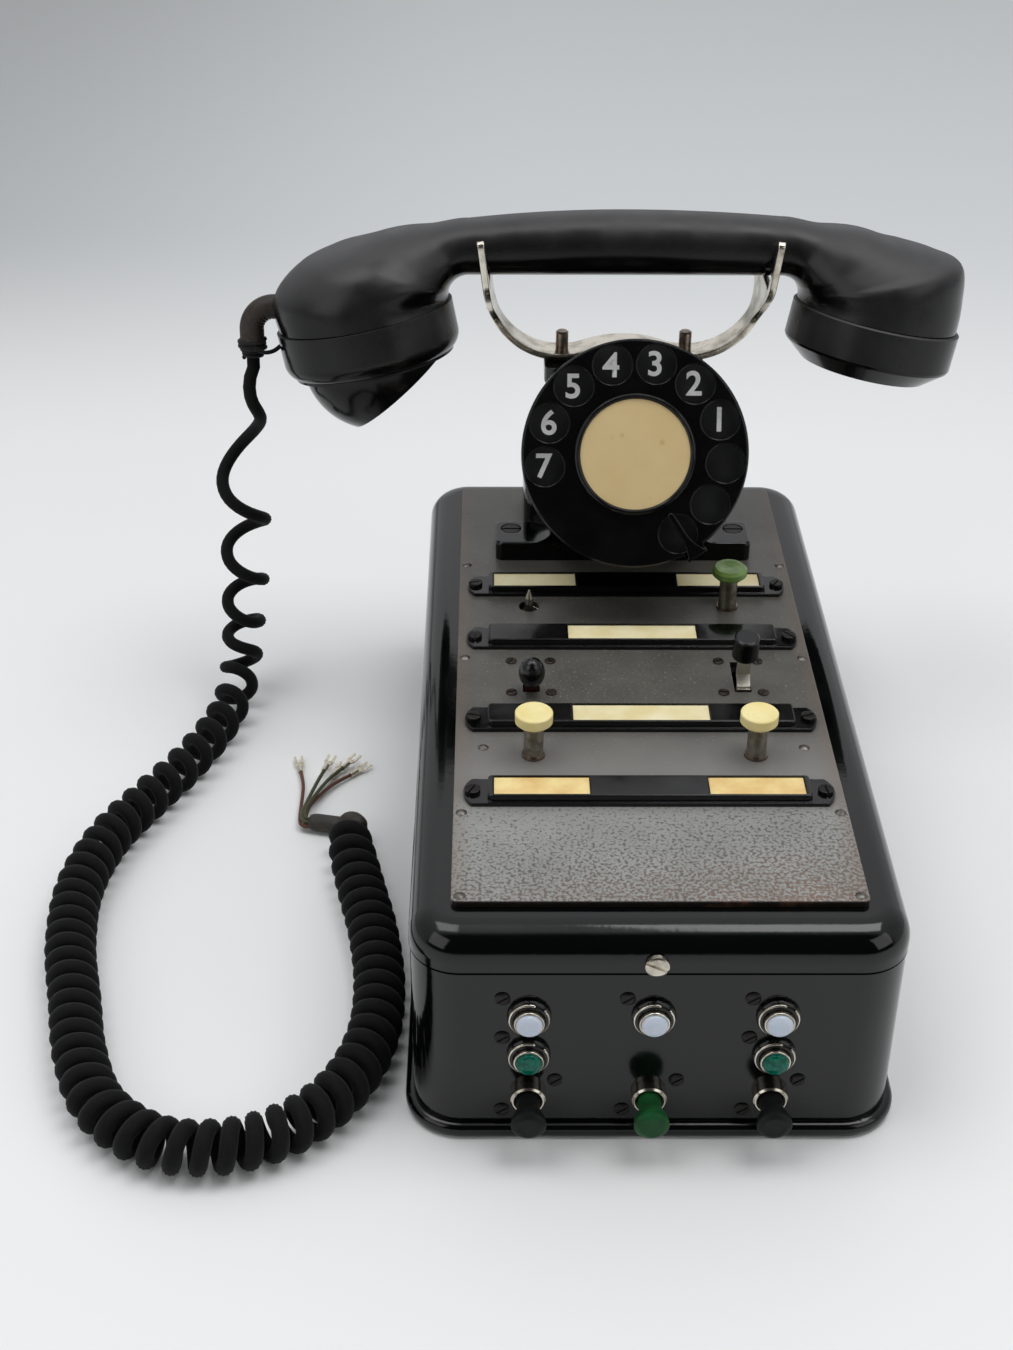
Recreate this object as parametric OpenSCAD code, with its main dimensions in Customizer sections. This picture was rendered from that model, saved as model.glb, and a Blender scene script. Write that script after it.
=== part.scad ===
// Desk switchboard telephone: a case with a keyed control panel, a dial on a pedestal,
// a cradle with its handset, and the handset's curly cord lying beside the case.
// Millimetres. X points right, Y to the back, Z up. The origin is the centre of the underside.

/* [Case] */
// Width of the case over its walls
case_w = 138; // [134:1:146]
// Depth of the case over its walls
case_d = 265; // [262:1:275]
// Height of the cover's flat top above the table
case_h = 74; // [70:0.5:80]
// Thickness of the case walls
wall_t = 3; // [2:0.5:4]
// Radius of the upright corners
corner_r = 14; // [12:1:18]
// Radius of the cover's rolled top edge
edge_r = 9; // [6:0.5:10]
// Height of the cover above its joint with the lower case
cover_h = 12.5; // [10.5:0.5:16]
// How far the cover stands proud of the lower case
cover_proud = 0.3; // [0.1:0.1:0.6]
// Thickness of the base plate
base_t = 3; // [2.5:0.5:4]
// Height of the base's rounded rim
rim_h = 5; // [4:0.5:7]
// How far the base's rim stands out from the walls
rim_out = 2.5; // [2:0.5:3]

/* [Lamps and buttons] */
// Distance between the columns of lamps and buttons
front_pitch = 34.4; // [30:0.2:38]
// Offset of the middle column from the case's centre
front_x = -1.5; // [-3:0.5:0]
// Height of the white lamps
white_z = 46; // [45:0.5:48]
// Height of the green lamps
green_z = 31.5; // [31:0.5:33]
// Height of the push buttons
button_z = 15.7; // [15.5:0.1:17]
// Outer radius of a lamp bezel
bezel_r = 6.15; // [6:0.05:6.6]
// Radius of a lamp lens
lens_r = 4.4; // [4:0.1:4.5]
// How far a lens stands out of the case
lens_out = 5; // [4:0.5:6]
// Radius of a button's metal collar
collar_r = 5; // [4.8:0.1:5.6]
// How far a collar stands out of the case
collar_out = 3; // [2.5:0.5:4]
// Radius of a button's head
button_r = 5; // [4.6:0.1:6]
// How far a button stands out of the case
button_out = 13; // [12:0.5:16]
// Travel of a button
button_travel = 2.5; // [2:0.5:3]

/* [Control panel] */
// Width of the control panel
panel_w = 115; // [112:1:116]
// Depth of the control panel
panel_d = 240.5; // [238:0.5:243]
// Thickness of the control panel
panel_t = 2; // [1.5:0.5:4]
// How far the panel's centre lies behind the case's centre
panel_y = 0.75; // [0:0.25:1.5]
// Distance from the panel's edge to a label rail's end
rail_in = 2.9; // [2:0.1:5]
// Depth of a label rail
rail_d = 12; // [11.5:0.5:13]
// Height of a label rail's raised channel
rail_h = 3.5; // [3:0.5:4]
// Place of the rear label rail
rail_rear_y = 47.6; // [46:0.2:50]
// Place of the label rail in front of the rear keys
rail_upper_y = 13.8; // [13:0.2:16]
// Place of the label rail behind the ivory keys
rail_lower_y = -33.2; // [-35:0.1:-31]
// Place of the front label rail
rail_front_y = -71; // [-76:0.5:-68]

/* [Keys] */
// Distance of the keys from the centre line
key_x = 33.7; // [32:0.1:35]
// Place of the rear pair of push keys
rear_key_y = 35.2; // [33:0.2:36]
// Place of the lever keys
lever_y = -8.3; // [-10:0.1:-6]
// Place of the ivory push keys
ivory_key_y = -51.2; // [-54:0.2:-49]
// Radius of an ivory key's cap
ivory_cap_r = 5.7; // [5.5:0.05:7]
// Radius of the green key's cap
green_cap_r = 5.9; // [5.2:0.1:7]
// Thickness of a push key's cap
cap_t = 4.2; // [3:0.2:5]
// Height of a push key's cap above the panel
key_h = 15.8; // [14:0.2:19]
// Radius of an ivory key's stem
ivory_stem_r = 3; // [2.6:0.1:3.4]
// Radius of the green key's stem
green_stem_r = 3; // [2.6:0.1:3.4]
// Radius of the pin left where a key has lost its cap
pin_r = 1.4; // [1.2:0.1:2]
// Height of that pin above the panel
pin_h = 6.4; // [5:0.2:10]
// Travel of a push key
key_travel = 4; // [2:0.5:5]
// Depth of the lever pivots below the top of the panel
pivot_depth = 22; // [20:0.5:24]
// Lean of the levers towards the front
lever_lean = 18; // [12:0.5:20]

/* [Dial] */
// Place of the finger wheel's centre
dial_y = 34.5; // [32:0.5:37]
// Height of the finger wheel's centre
dial_z = 134; // [131:1:140]
// Lean of the dial back from upright
dial_tilt = 23; // [18:1:27]
// Radius of the finger wheel
wheel_r = 36.9; // [36:0.1:39]
// Thickness of the finger wheel
wheel_t = 2.4; // [1.6:0.2:3]
// Radius of a finger hole
finger_r = 6.25; // [5.5:0.05:6.4]
// Radius of the circle through the finger holes
finger_circle_r = 29.5; // [28.5:0.1:30]
// Radius of the ivory disc in the middle of the wheel
disc_r = 17.8; // [15:0.1:18.5]
// Depth of the dial's mechanism can
can_depth = 26; // [22:1:28]

/* [Pedestal] */
// Width of the pedestal over its ears
ear_w = 90; // [84:1:96]
// Depth of an ear
ear_d = 16.5; // [14:0.5:20]
// Thickness of an ear
ear_t = 7; // [5:0.5:9]
// Place of the ears' front face
ear_y = 66.5; // [64:0.5:68]
// Width of the pedestal's broad foot
foot_w = 70; // [66:1:76]
// Height of the pedestal's broad foot
foot_h = 22; // [18:1:26]
// Width of the pedestal's neck
neck_w = 52; // [50:1:54]
// Width of the guide block under the cradle
guide_w = 56; // [54:1:64]
// Height of the guide block
guide_h = 7.5; // [6:0.5:10]

/* [Cradle] */
// Place of the cradle and the handset's grip
cradle_y = 106.5; // [104:0.5:108]
// Height of the cradle strip's low points
cradle_z = 138; // [136:0.5:142]
// Thickness of the cradle strip
strip_t = 2.4; // [1.6:0.2:3]
// Width of the cradle strip at its waist
strip_w = 10.5; // [10:0.5:15]
// Radius of the bends below the arms
bend_r = 25.5; // [23:0.5:27]
// Half distance between the posts
post_x = 21.7; // [21:0.1:22.2]
// Radius of a post
post_r = 2.2; // [1.8:0.1:2.4]
// Height of a post above the strip
post_h = 8; // [6:0.5:10]
// Rise of the cradle when the handset is lifted
cradle_travel = 5; // [3:0.5:6]

/* [Handset] */
// Height of the grip's centre
grip_z = 178.4; // [177:0.2:180]
// Height of the grip at its middle
grip_h = 21.4; // [20:0.2:23]
// Half width of the grip
grip_half_w = 12.5; // [11:0.1:12.8]
// How far the grip's top falls from its middle to its elbows
grip_fall = 3; // [1:0.5:4]
// Distance of the elbows from the grip's middle
elbow_x = 53.5; // [53.5:0.5:56]
// Radius inside the elbows
elbow_r = 7; // [6:0.5:9]
// Inward tilt of the two cups
cup_tilt = 11.5; // [8:0.5:14]
// Radius of the mouthpiece cup
mouth_cup_r = 30; // [28:0.5:31]
// Radius of the earpiece cup
ear_cup_r = 28.3; // [27:0.1:30]
// How far a cap's ring stands proud of its cup
ring_proud = 1; // [0.5:0.1:1.5]
// Depth of the mouthpiece ring
ring_h = 14; // [13:0.5:15]
// Depth of the earpiece cap's straight side
ear_ring_h = 12.5; // [12:0.5:14]
// Radius of the round mouthpiece horn
horn_r = 25; // [23:0.5:25.5]
// How far the handset lies to one side of the cradle's middle
handset_x = -0.9; // [-1.5:0.1:1]
// Turn of the handset about its length, cups towards the front
handset_roll = 10.5; // [0:0.5:12]

/* [Cord] */
// Diameter of the cord
cord_d = 5.2; // [4.6:0.1:5.3]
// Radius of the cord's curls at the middle of the cord
curl_r = 5.6; // [5.2:0.1:6]
// Pitch of the relaxed curls
curl_pitch = 6.6; // [6.5:0.1:7.5]
// Radius of the sleeve where the cord leaves the handset
sleeve_r = 4.25; // [3.5:0.05:5]
// Diameter of an inner wire
wire_d = 1.3; // [1:0.1:1.5]

/* [Hidden] */
$fn = 64;

// Small shared sizes
fit_gap = 0.05;
slide_gap = 0.08;
seat_gap = 0.3;
cut_over = 1;
bevel = 0.5;

// Heights and planes worked out from the case
front_y = -case_d / 2;
panel_z = case_h;
panel_top = panel_z + panel_t;
seam_z = case_h - cover_h;
inner_w = case_w - 2 * wall_t;
inner_d = case_d - 2 * wall_t;
inner_corner = corner_r - wall_t;
rim_round = 0.45 * rim_h;

// Base screws stand in the corners of the base
base_screw_in = 12;
base_head_r = 3.2;
base_head_h = 1.2;
base_sink = 0.3;
base_shank_r = 1.6;
boss_r = 4;
boss_h = 12;

// The tongue of the lower case that locates the cover
tongue_t = 1.4;
tongue_h = 3;
tongue_up = 2.2;
tongue_gap = 0.15;

// Cover screws stand square on the cover's front and back, just above the joint
cover_screw_up = 3.7;
cover_screw_z = seam_z + cover_screw_up;
cover_screw_base = min(cover_screw_z, case_h - edge_r);
cover_screw_tilt = asin((cover_screw_z - cover_screw_base) / edge_r);
cover_head_r = 3.3;
cover_head_h = 1.6;
cover_shank_r = 1.3;

// Cable inlets in the back wall
inlet_x = 30;
inlet_z = 16;
inlet_r = 4;
inlet_wall = 1.5;
inlet_flange_r = 7.5;
inlet_flange_t = 2;

// Control panel openings and fasteners
panel_corner = 2;
panel_edge = 0.5;
opening_end = 10;
opening_d = panel_d - 2 * opening_end;
rivet_r = 1.7;
rivet_h = 0.7;
rivet_shank_r = 1;
rivet_shank_l = panel_t + 2;
// Rivet places: distance in from the panel's edge, and place along the panel
rivet_in = 2.4;
rivets = [
  [rivet_in, panel_y - panel_d / 2 + rivet_in], [rivet_in, rail_front_y - 8.8], [8.6, ivory_key_y + 3.8],
  [rivet_in, lever_y + 11.3], [rivet_in, ear_y - 3.4]
];
small_head_r = 2.3;
small_head_h = 1.3;
small_shank_r = 1.15;
slot_w = 0.8;
slot_depth = 0.7;

// Label rails: a flange with round ends, a raised channel and one or two windows
rail_w = panel_w - 2 * rail_in;
rail_base_t = 1.2;
rail_end_r = 8.6;
rail_screw_in = 2.7;
channel_in = 7.2;
channel_margin = 0.9;
channel_corner = 1.2;
channel_edge = 0.5;
window_d = 8.8;
window_depth = 1.3;
window_in = 1.6;
pair_window_w = 28.4;
pair_window_x = rail_w / 2 - channel_in - window_in - pair_window_w / 2;
single_window_w = 42.6;
card_gap = 0.2;
card_t = 0.8;

// Lamps and buttons
bezel_wall = 0.8;
bezel_bore = lens_r + fit_gap;
bezel_tube_r = bezel_bore + bezel_wall;
bezel_flange_t = 1.4;
bezel_lip = 2.4;
bezel_inside = 12;
bezel_depth = wall_t + bezel_inside;
bezel_lip_out = 0.1;
lens_dome_r = 2 * lens_r;
lens_seat = 2;
bulb_r = 3;
bulb_cap_l = 5;
lamp_screw = [-7.4, 6.4];
button_screw = [7.5, 5.8];
front_head_r = 2.2;
front_head_h = 0.6;
stem_r = 3.3;
collar_bore = stem_r + slide_gap;
collar_wall = 1.1;
collar_inside = 6;
collar_tube_r = stem_r + collar_wall;
collar_depth = wall_t + collar_inside;
collar_lip = 0.8;
clip_r = collar_tube_r;
clip_t = 1.2;
stem_tail = 1.5;
head_edge = 1.8;
flare_steps = 6;
contact_w = 15;
contact_leg = 2;
contact_t = 1.5;
contact_h = 9;

// Push keys
guide_wall = 2;
guide_depth = 22;
guide_floor = 3;
guide_neck = 0.55;
guide_collar_h = 0.8;
bare_hole_r = 3.5;
stem_free = 2;
cap_seat = 1.6;
cap_rim = 1.2;
cap_dish = 0.4;
ivory_edge = [1, 0.3];
green_edge = [1.5, 1];
pin_point = 3;

// Lever keys
lever_w = 4.2;
lever_t = 2;
lever_pin_r = 1.5;
slot_side = 0.6;
slot_end = 1.6;
frame_plate_t = 2;
frame_cheek_t = 1.5;
frame_cheek_d = 12;
frame_below = 6;
lever_screw_x = 6.3;
lever_screw_y = 9.1;
frame_margin = 2.6;
frame_corner = 2;
frame_w = 2 * (lever_screw_x + frame_margin);
// The cover is open under the panel, wide enough for the key frames
opening_side = 2.9;
opening_w = 2 * (key_x + frame_w / 2 + opening_side);
olive_r = 4.2;
olive_h = 11.5;
olive_steps = 12;
olive_foot = -55;
left_knob_z = 2.8;
knob_bore = 0.05;
// The right arm turns back just above the panel and then up into its knob
bent_t = 1.4;
bent_foot = 1.2;
bent_back_l = 4.5;
bent_back_lean = 50;
bent_up_l = 7.1;
bent_up_lean = 10;
barrel_r = 4.25;
barrel_top_r = 3.95;
barrel_h = 8.8;

// Terminal strip on the base
strip_block = [60, 18, 12];
strip_y = 60;
strip_screws = 6;
strip_screw_r = 2;

// Pedestal
foot_back = 118;
foot_front = 80;
foot_corner = 8;
foot_edge = 7;
front_neck_w = 48;
ear_fillet = 9;
ear_corner = 2.5;
ear_bevel = 1;
ear_screw_in = 5.5;
ear_screw_y = 10.5;
ear_head_r = 3.6;
ear_head_h = 2.2;
ear_shank_r = 1.8;
chamber_w = 34;
chamber_front = 78;
chamber_back = 112;
chamber_wall = 6;
neck_front = 66;
neck_low = panel_top + 10;
guide_front = 95;
guide_top = cradle_z - strip_t / 2 - seat_gap;
guide_low = guide_top - guide_h;
guide_corner = 4;
// The posts stay guided by this length when the cradle has risen
post_guided = 9;
post_low = guide_low - post_guided - cradle_travel;
post_bore_low = post_low - 4;
hollow_r = 30;
hollow_y = guide_front + 3;
contact_blades = 4;
blade = [26, 5, 0.5];
blade_step = 2.2;

// Dial, in its own frame: z along the dial's outward normal, zero at the wheel's face
plate_gap = 2;
plate_t = 0.6;
bezel_plate_t = 2;
plate_z = -wheel_t - plate_gap;
can_top = plate_z - plate_t - bezel_plate_t;
can_r = wheel_r - 6.2;
can_flange_r = wheel_r - 1.4;
plate_r = wheel_r - 1.7;
cup_r = wheel_r - 3.9;
cup_floor = 3;
neck_top_in = 2;
neck_low_in = 6;
spindle_r = 4;
spindle_fit = 0.05;
first_hole = -61;
hole_step = 27.67;
hole_count = 10;
ring_w = 1.8;
ring_up = 1.6;
disc_t = 0.9;
stop_angle = -56.5;
stop_t = 1.4;
stop_tip_r = 22;
stop_tip_w = 2.2;
// The blade flares from this radius to its root, more to the side where fingers come to rest
stop_flare_r = 30;
stop_flare = [2.9, 2.1];
stop_steps = 5;
stop_reach = wheel_r + 2.1;
stop_rise = 1.2;
stop_gap = 0.7;

// Cradle strip: a hump between two bends, arms that lean out, and a fork at each end
hump_r = 40;
bend_x = 22;
hump_half = asin(bend_x / (hump_r + bend_r));
bend_z = cradle_z + bend_r;
hump_z = bend_z - (hump_r + bend_r) * cos(hump_half);
hump_steps = 7;
bend_steps = 28;
arm_turn = 83;
arm_l = 28;
fork_out = 19;
fork_in = 15.4;
fork_shoulder = 151;
fork_spread = 169;
fork_tip = 185;
fork_round = 1.7;

// Handset sections
section_sides = 28;
section_n = 2.5;
fan_steps = 16;
grip_steps = 8;
grip_low = -grip_h / 2;
elbow_z = grip_low - elbow_r;
cup_angle = 180 + cup_tilt;
grip_top_end = grip_h / 2 - grip_fall;
// How far the rolled grip reaches below its axis where the forks hold it
fork_half_h = (grip_top_end - grip_low) / 2;
fork_mid = (grip_top_end + grip_low) / 2;
section_q = section_n / (section_n - 1);
grip_reach = pow(pow(fork_half_h * cos(handset_roll), section_q)
  + pow(grip_half_w * sin(handset_roll), section_q), 1 / section_q);
notch_z = grip_z + fork_mid * cos(handset_roll) - grip_reach - seat_gap;
// Sweep rows round each elbow: angle, reach from the elbow, half width, squareness
elbow_end = elbow_r + grip_top_end - grip_low;
mouth_reach = elbow_r + 2 * mouth_cup_r;
ear_reach = elbow_r + 2 * ear_cup_r;
fan_angles = [cup_angle, 181, 170, 160, 146];
// How far each row lies inside the cup's far edge and side, and how square it is
mouth_fall = [0, -0.2, 8, 18.5, 30];
mouth_waist = [0, 0.2, 1.4, 4, 9];
mouth_square = [2, 2, 2.1, 2.2, 2.3];
ear_fall = [0, 0.2, 2.2, 11.5, 24.5];
ear_waist = [0, 0.2, 0.9, 2.8, 7.5];
ear_square = [2, 2, 2.2, 2.3, 2.4];
// The swell of the grip as it turns into each elbow
swell_angle = 119;
swell_square = 2.4;
mouth_swell = 1.6;
ear_swell = 1.9;
swell_w = 2.6;
function fan(reach, r, fall, waist, square, swell) = concat(
  [for (k = [0 : len(fan_angles) - 1]) [fan_angles[k], reach - fall[k], r - waist[k], square[k]]],
  [[swell_angle, elbow_end + swell, grip_half_w + swell_w, swell_square],
    [90, elbow_end, grip_half_w, section_n]]);
mouth_fan = fan(mouth_reach, mouth_cup_r, mouth_fall, mouth_waist, mouth_square, mouth_swell);
ear_fan = fan(ear_reach, ear_cup_r, ear_fall, ear_waist, ear_square, ear_swell);
cup_ring_wall = 3.2;
ring_lip = 3;
capsule_h = 9.5;
capsule_gap = 0.5;
capsule_edge = 1;
horn_wall = 2.2;
horn_flange_t = 1.6;
horn_cut_x = -23;
horn_z = ring_h + 1.3;
horn_cut_z = ring_h + 3.5;
horn_cut_angle = 30;
ear_face_r = 21;
ear_face_edge = 1;
ear_face_z = ear_ring_h + 6.5;
ear_dish = 2.5;
ear_hole_r = 1.3;
ear_hole_ring = 7;

// Cord: the sleeve turns down out of the mouthpiece end, in the handset's frame
sleeve_z = -22.4;
sleeve_in = 1.5;
sleeve_bend = 8;
sleeve_drop = 7;
sleeve_start = -elbow_x - mouth_reach + 1;
sleeve_run = 1.5;
sleeve_x = sleeve_start - sleeve_run - sleeve_bend;
sleeve_end = [sleeve_x, 0, sleeve_z - sleeve_bend - sleeve_drop];
floor_z = curl_r + cord_d / 2 + 0.2;
// Route of the curls' axis: x, y, z, pitch and radius of the curls, chosen by hand
drop_rows = [
  [-135, 99, 122, 62, 6.4], [-137, 99, 106, 58, 7.4], [-137, 99, 91, 36, 7.3],
  [-137, 99, 75, 29, 7.3], [-138, 99, 60, 25, 7], [-139, 99, 47, 21, 6.8],
  [-140, 99, 37, 17, 6.4], [-141, 99, 28, 14, 6], [-142, 96, 18, 11, 5.8],
  [-143, 88, 11, 9.5, 5.7]
];
// The drop's row at which a curl stands furthest left
left_row = 3;
floor_rows = [
  [-145, 75, 8.5], [-149, 57, 8.2], [-157, 36, 7.8], [-167, 16, 7.2], [-177, -6, 6.8],
  [-182, -32, 6.6], [-180, -60, 6.6], [-174, -86, 6.6], [-168, -110, 6.6], [-158, -131, 6.8],
  [-140, -144, 6.8], [-120, -145, 6.8], [-102, -137, 6.8], [-89, -122, 6.8], [-82, -102, 6.6],
  [-81, -80, 6.6], [-84, -56, 6.6], [-89, -34, 6.8], [-93, -16, 8.5]
];
tail_rows = [[-95, -4, 7.6, 9, 4.6], [-95, 4, 5.4, 12, 2.4]];
cord_end = [-102, 8, 3.4];
cord_end_dir = [-0.98, 0.2, 0];
cord_sides = 6;
curl_rings = 8;
row_steps = 10;
end_sleeve_r = 3.1;
end_sleeve_l = 8;
// Wires: where each ends on the table, and its height there
wire_tips = [[-116, 38, 1.6], [-105, 39, 3], [-101, 37, 1.6], [-96, 40, 3.4], [-92, 37, 1.6]];
wire_rings = 7;
lug_w = 3.4;
lug_l = 9;
lug_t = 0.5;
lug_fork_w = 1.6;
lug_fork_l = 4.5;

// Helper shapes

module quarter(r) {
  intersection() {
    circle(r);
    square(r);
  }
}

module rounded_rect(w, d, r) {
  square([w, d - 2 * r], center = true);
  square([w - 2 * r, d], center = true);
  for (sx = [-1, 1], sy = [-1, 1]) translate([sx * (w / 2 - r), sy * (d / 2 - r)]) circle(r);
}

module slab(w, d, h, r) {
  linear_extrude(h) rounded_rect(w, d, r);
}

module edge_profile(half, h, e) {
  square([half, h - e]);
  square([half - e, h]);
  translate([half - e, h - e]) quarter(e);
}

module crowned(width, h, e) {
  for (s = [0, 1]) mirror([s, 0]) edge_profile(width / 2, h, e);
}

// A block with round upright corners and a rolled top edge
module soft_block(w, d, h, corner, edge) {
  rotate([90, 0, 0]) linear_extrude(d - 2 * corner, center = true) crowned(w, h, edge);
  rotate([90, 0, 90]) linear_extrude(w - 2 * corner, center = true) crowned(d, h, edge);
  for (q = [0 : 3]) {
    sx = (q == 0 || q == 3) ? 1 : -1;
    sy = (q < 2) ? 1 : -1;
    translate([sx * (w / 2 - corner), sy * (d / 2 - corner), 0]) rotate(90 * q)
      rotate_extrude(angle = 90) edge_profile(corner, h, edge);
  }
}

// A slotted screw along Z, its head standing on z = 0
module slot_screw(head_r, head_h, shank_r, shank_l, turn) {
  difference() {
    union() {
      cylinder(h = head_h - bevel / 2, r = head_r);
      translate([0, 0, head_h - bevel / 2]) cylinder(h = bevel / 2, r1 = head_r, r2 = head_r - bevel);
      translate([0, 0, -shank_l]) cylinder(h = shank_l, r = shank_r);
    }
    rotate(turn) translate([0, 0, head_h - min(slot_depth, head_h / 2) + head_h / 2])
      cube([3 * head_r, slot_w, head_h], center = true);
  }
}

module at_front(x, z) {
  translate([x + front_x, front_y, z]) rotate([90, 0, 0]) children();
}

module at_dial() {
  translate([0, dial_y, dial_z]) rotate([90 - dial_tilt, 0, 0]) children();
}

module at_handset() {
  translate([handset_x, cradle_y, grip_z]) rotate([-handset_roll, 0, 0]) children();
}

// The seat of a cup in the handset's frame: z points out of the cup, x away from the grip
module at_cup(side, cup_r) {
  mirror([side > 0 ? 1 : 0, 0, 0])
    translate([-elbow_x, 0, elbow_z]) rotate([0, 180 - cup_tilt, 0])
      translate([elbow_r + cup_r, 0, 0]) children();
}

// Functions

function unit(v) = v / norm(v);
function xyz(row) = [row[0], row[1], row[2]];

// A smooth curve through rows of numbers; t counts the rows
function curve_at(rows, t) =
  let (
    last = len(rows) - 1, i = min(floor(t), last - 1), f = t - i,
    a = rows[max(i - 1, 0)], b = rows[i], c = rows[i + 1], d = rows[min(i + 2, last)]
  )
  0.5 * (2 * b + (c - a) * f + (2 * a - 5 * b + 4 * c - d) * f * f
    + (3 * b - a - 3 * c + d) * f * f * f);

// A normal carried along a list of tangents without twist
function carried(tangents, first) =
  [for (i = 0, u = first; i < len(tangents);
    i = i + 1, u = i < len(tangents) ? unit(u - (u * tangents[i]) * tangents[i]) : u) u];

function tangents_of(p) =
  [for (i = [0 : len(p) - 1]) unit(p[min(i + 1, len(p) - 1)] - p[max(i - 1, 0)])];

// A round tube through a list of centres, closed at both ends
module tube(centres, radius, sides) {
  t = tangents_of(centres);
  seed = abs(t[0].z) < 0.8 ? [0, 0, 1] : [1, 0, 0];
  u = carried(t, unit(seed - (seed * t[0]) * t[0]));
  n = len(centres);
  points = [for (i = [0 : n - 1], k = [0 : sides - 1]) centres[i]
    + radius * (cos(360 * k / sides) * u[i] + sin(360 * k / sides) * cross(t[i], u[i]))];
  walls = [for (i = [0 : n - 2], k = [0 : sides - 1]) let (
      a = i * sides + k, b = i * sides + (k + 1) % sides, c = a + sides, d = b + sides
    ) each [[a, c, b], [b, c, d]]];
  caps = [for (k = [1 : sides - 2]) each [[0, k, k + 1],
    [(n - 1) * sides, (n - 1) * sides + k + 1, (n - 1) * sides + k]]];
  polyhedron(points, concat(walls, caps), convexity = 10);
}

// Case

module base_plate() {
  color("black") difference() {
    translate([0, 0, rim_h / 2]) for (s = [0, 1]) mirror([0, 0, s])
      soft_block(case_w + 2 * rim_out, case_d + 2 * rim_out, rim_h / 2, corner_r + rim_out, rim_round);
    translate([0, 0, base_t]) slab(inner_w, inner_d, rim_h, inner_corner);
    for (p = base_screw_places()) translate([p.x, p.y, -cut_over]) {
      cylinder(h = base_t + 2 * cut_over, r = base_shank_r + slide_gap);
      cylinder(h = base_head_h + base_sink + cut_over, r = base_head_r + slide_gap);
    }
  }
}

function base_screw_places() =
  [for (sx = [-1, 1], sy = [-1, 1])
    [sx * (inner_w / 2 - base_screw_in), sy * (inner_d / 2 - base_screw_in)]];

module base_screws() {
  color("dimgray") for (p = base_screw_places()) translate([p.x, p.y, base_head_h + base_sink])
    mirror([0, 0, 1]) slot_screw(base_head_r, base_head_h, base_shank_r, boss_h / 2, 20);
}

// Places of the lamps: x in columns, z
lamp_places = [[-1, white_z], [0, white_z], [1, white_z], [-1, green_z], [1, green_z]];

module lower_case() {
  color("black") difference() {
    union() {
      difference() {
        translate([0, 0, rim_h]) slab(case_w, case_d, seam_z - rim_h, corner_r);
        slab(inner_w, inner_d, case_h, inner_corner);
      }
      tongue();
      for (p = base_screw_places()) screw_post(p);
    }
    for (p = lamp_places) at_front(p.x * front_pitch, p[1])
      cylinder(h = 4 * wall_t, r = bezel_tube_r + fit_gap, center = true);
    for (c = [-1 : 1]) at_front(c * front_pitch, button_z)
      cylinder(h = 4 * wall_t, r = collar_tube_r + fit_gap, center = true);
    front_screw_places() cylinder(h = 4 * wall_t, r = small_shank_r + fit_gap, center = true);
    for (s = [-1, 1]) translate([s * inlet_x, -front_y, inlet_z]) rotate([90, 0, 0])
      cylinder(h = 4 * wall_t, r = inlet_r + inlet_wall + fit_gap, center = true);
    cover_screw_places() cylinder(h = 6 * wall_t, r = cover_shank_r + fit_gap, center = true);
  }
}

// A ring inside the wall that rises into the cover
module tongue() {
  tongue_w = inner_w + 2 * cover_proud - 2 * tongue_gap;
  tongue_d = inner_d + 2 * cover_proud - 2 * tongue_gap;
  tongue_corner = inner_corner + cover_proud - tongue_gap;
  difference() {
    translate([0, 0, seam_z - 2 * tongue_h])
      slab(tongue_w, tongue_d, 2 * tongue_h + tongue_up, tongue_corner);
    translate([0, 0, seam_z - 3 * tongue_h])
      slab(tongue_w - 2 * tongue_t, tongue_d - 2 * tongue_t, 5 * tongue_h, tongue_corner - tongue_t);
  }
}

// A threaded post for a base screw, joined to the side wall by a rib
module screw_post(p) {
  difference() {
    union() {
      translate([p.x, p.y, base_t]) cylinder(h = boss_h, r = boss_r);
      translate([p.x, p.y - boss_r / 2, base_t])
        mirror([p.x > 0 ? 0 : 1, 0, 0]) cube([base_screw_in + wall_t / 2, boss_r, boss_h]);
    }
    translate([p.x, p.y, 0]) cylinder(h = base_t + boss_h - cut_over, r = base_shank_r + fit_gap);
    slab_ring_below();
  }
}

// Room for the base's rim under a screw post's rib
module slab_ring_below() {
  difference() {
    translate([0, 0, -cut_over])
      slab(case_w + 2 * rim_out, case_d + 2 * rim_out, rim_h + cut_over, corner_r + rim_out);
    translate([0, 0, -2 * cut_over])
      slab(inner_w - 2 * fit_gap, inner_d - 2 * fit_gap, rim_h + 4 * cut_over, inner_corner - fit_gap);
  }
}

module top_cover() {
  outer_w = case_w + 2 * cover_proud;
  outer_d = case_d + 2 * cover_proud;
  color("black") difference() {
    translate([0, 0, seam_z])
      soft_block(outer_w, outer_d, case_h - seam_z, corner_r + cover_proud, edge_r);
    translate([0, 0, seam_z - wall_t - edge_r]) soft_block(outer_w - 2 * wall_t, outer_d - 2 * wall_t,
      case_h - seam_z + edge_r, corner_r + cover_proud - wall_t, max(edge_r - wall_t, 1));
    translate([0, panel_y, seam_z]) slab(opening_w, opening_d, case_h, corner_r / 2);
    panel_fastener_holes(rivet_shank_r + fit_gap, rivet_places());
    cover_screw_places() cylinder(h = 6 * wall_t, r = cover_shank_r + fit_gap, center = true);
  }
}

module cover_screw_places() {
  for (turn = [0, 180]) rotate(turn)
    translate([front_x, front_y - cover_proud + edge_r, cover_screw_base])
      rotate([90 - cover_screw_tilt, 0, 0]) translate([0, 0, edge_r]) children();
}

module cover_screws() {
  color("silver") cover_screw_places()
    slot_screw(cover_head_r, cover_head_h, cover_shank_r, wall_t + tongue_t, -25);
}

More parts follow.
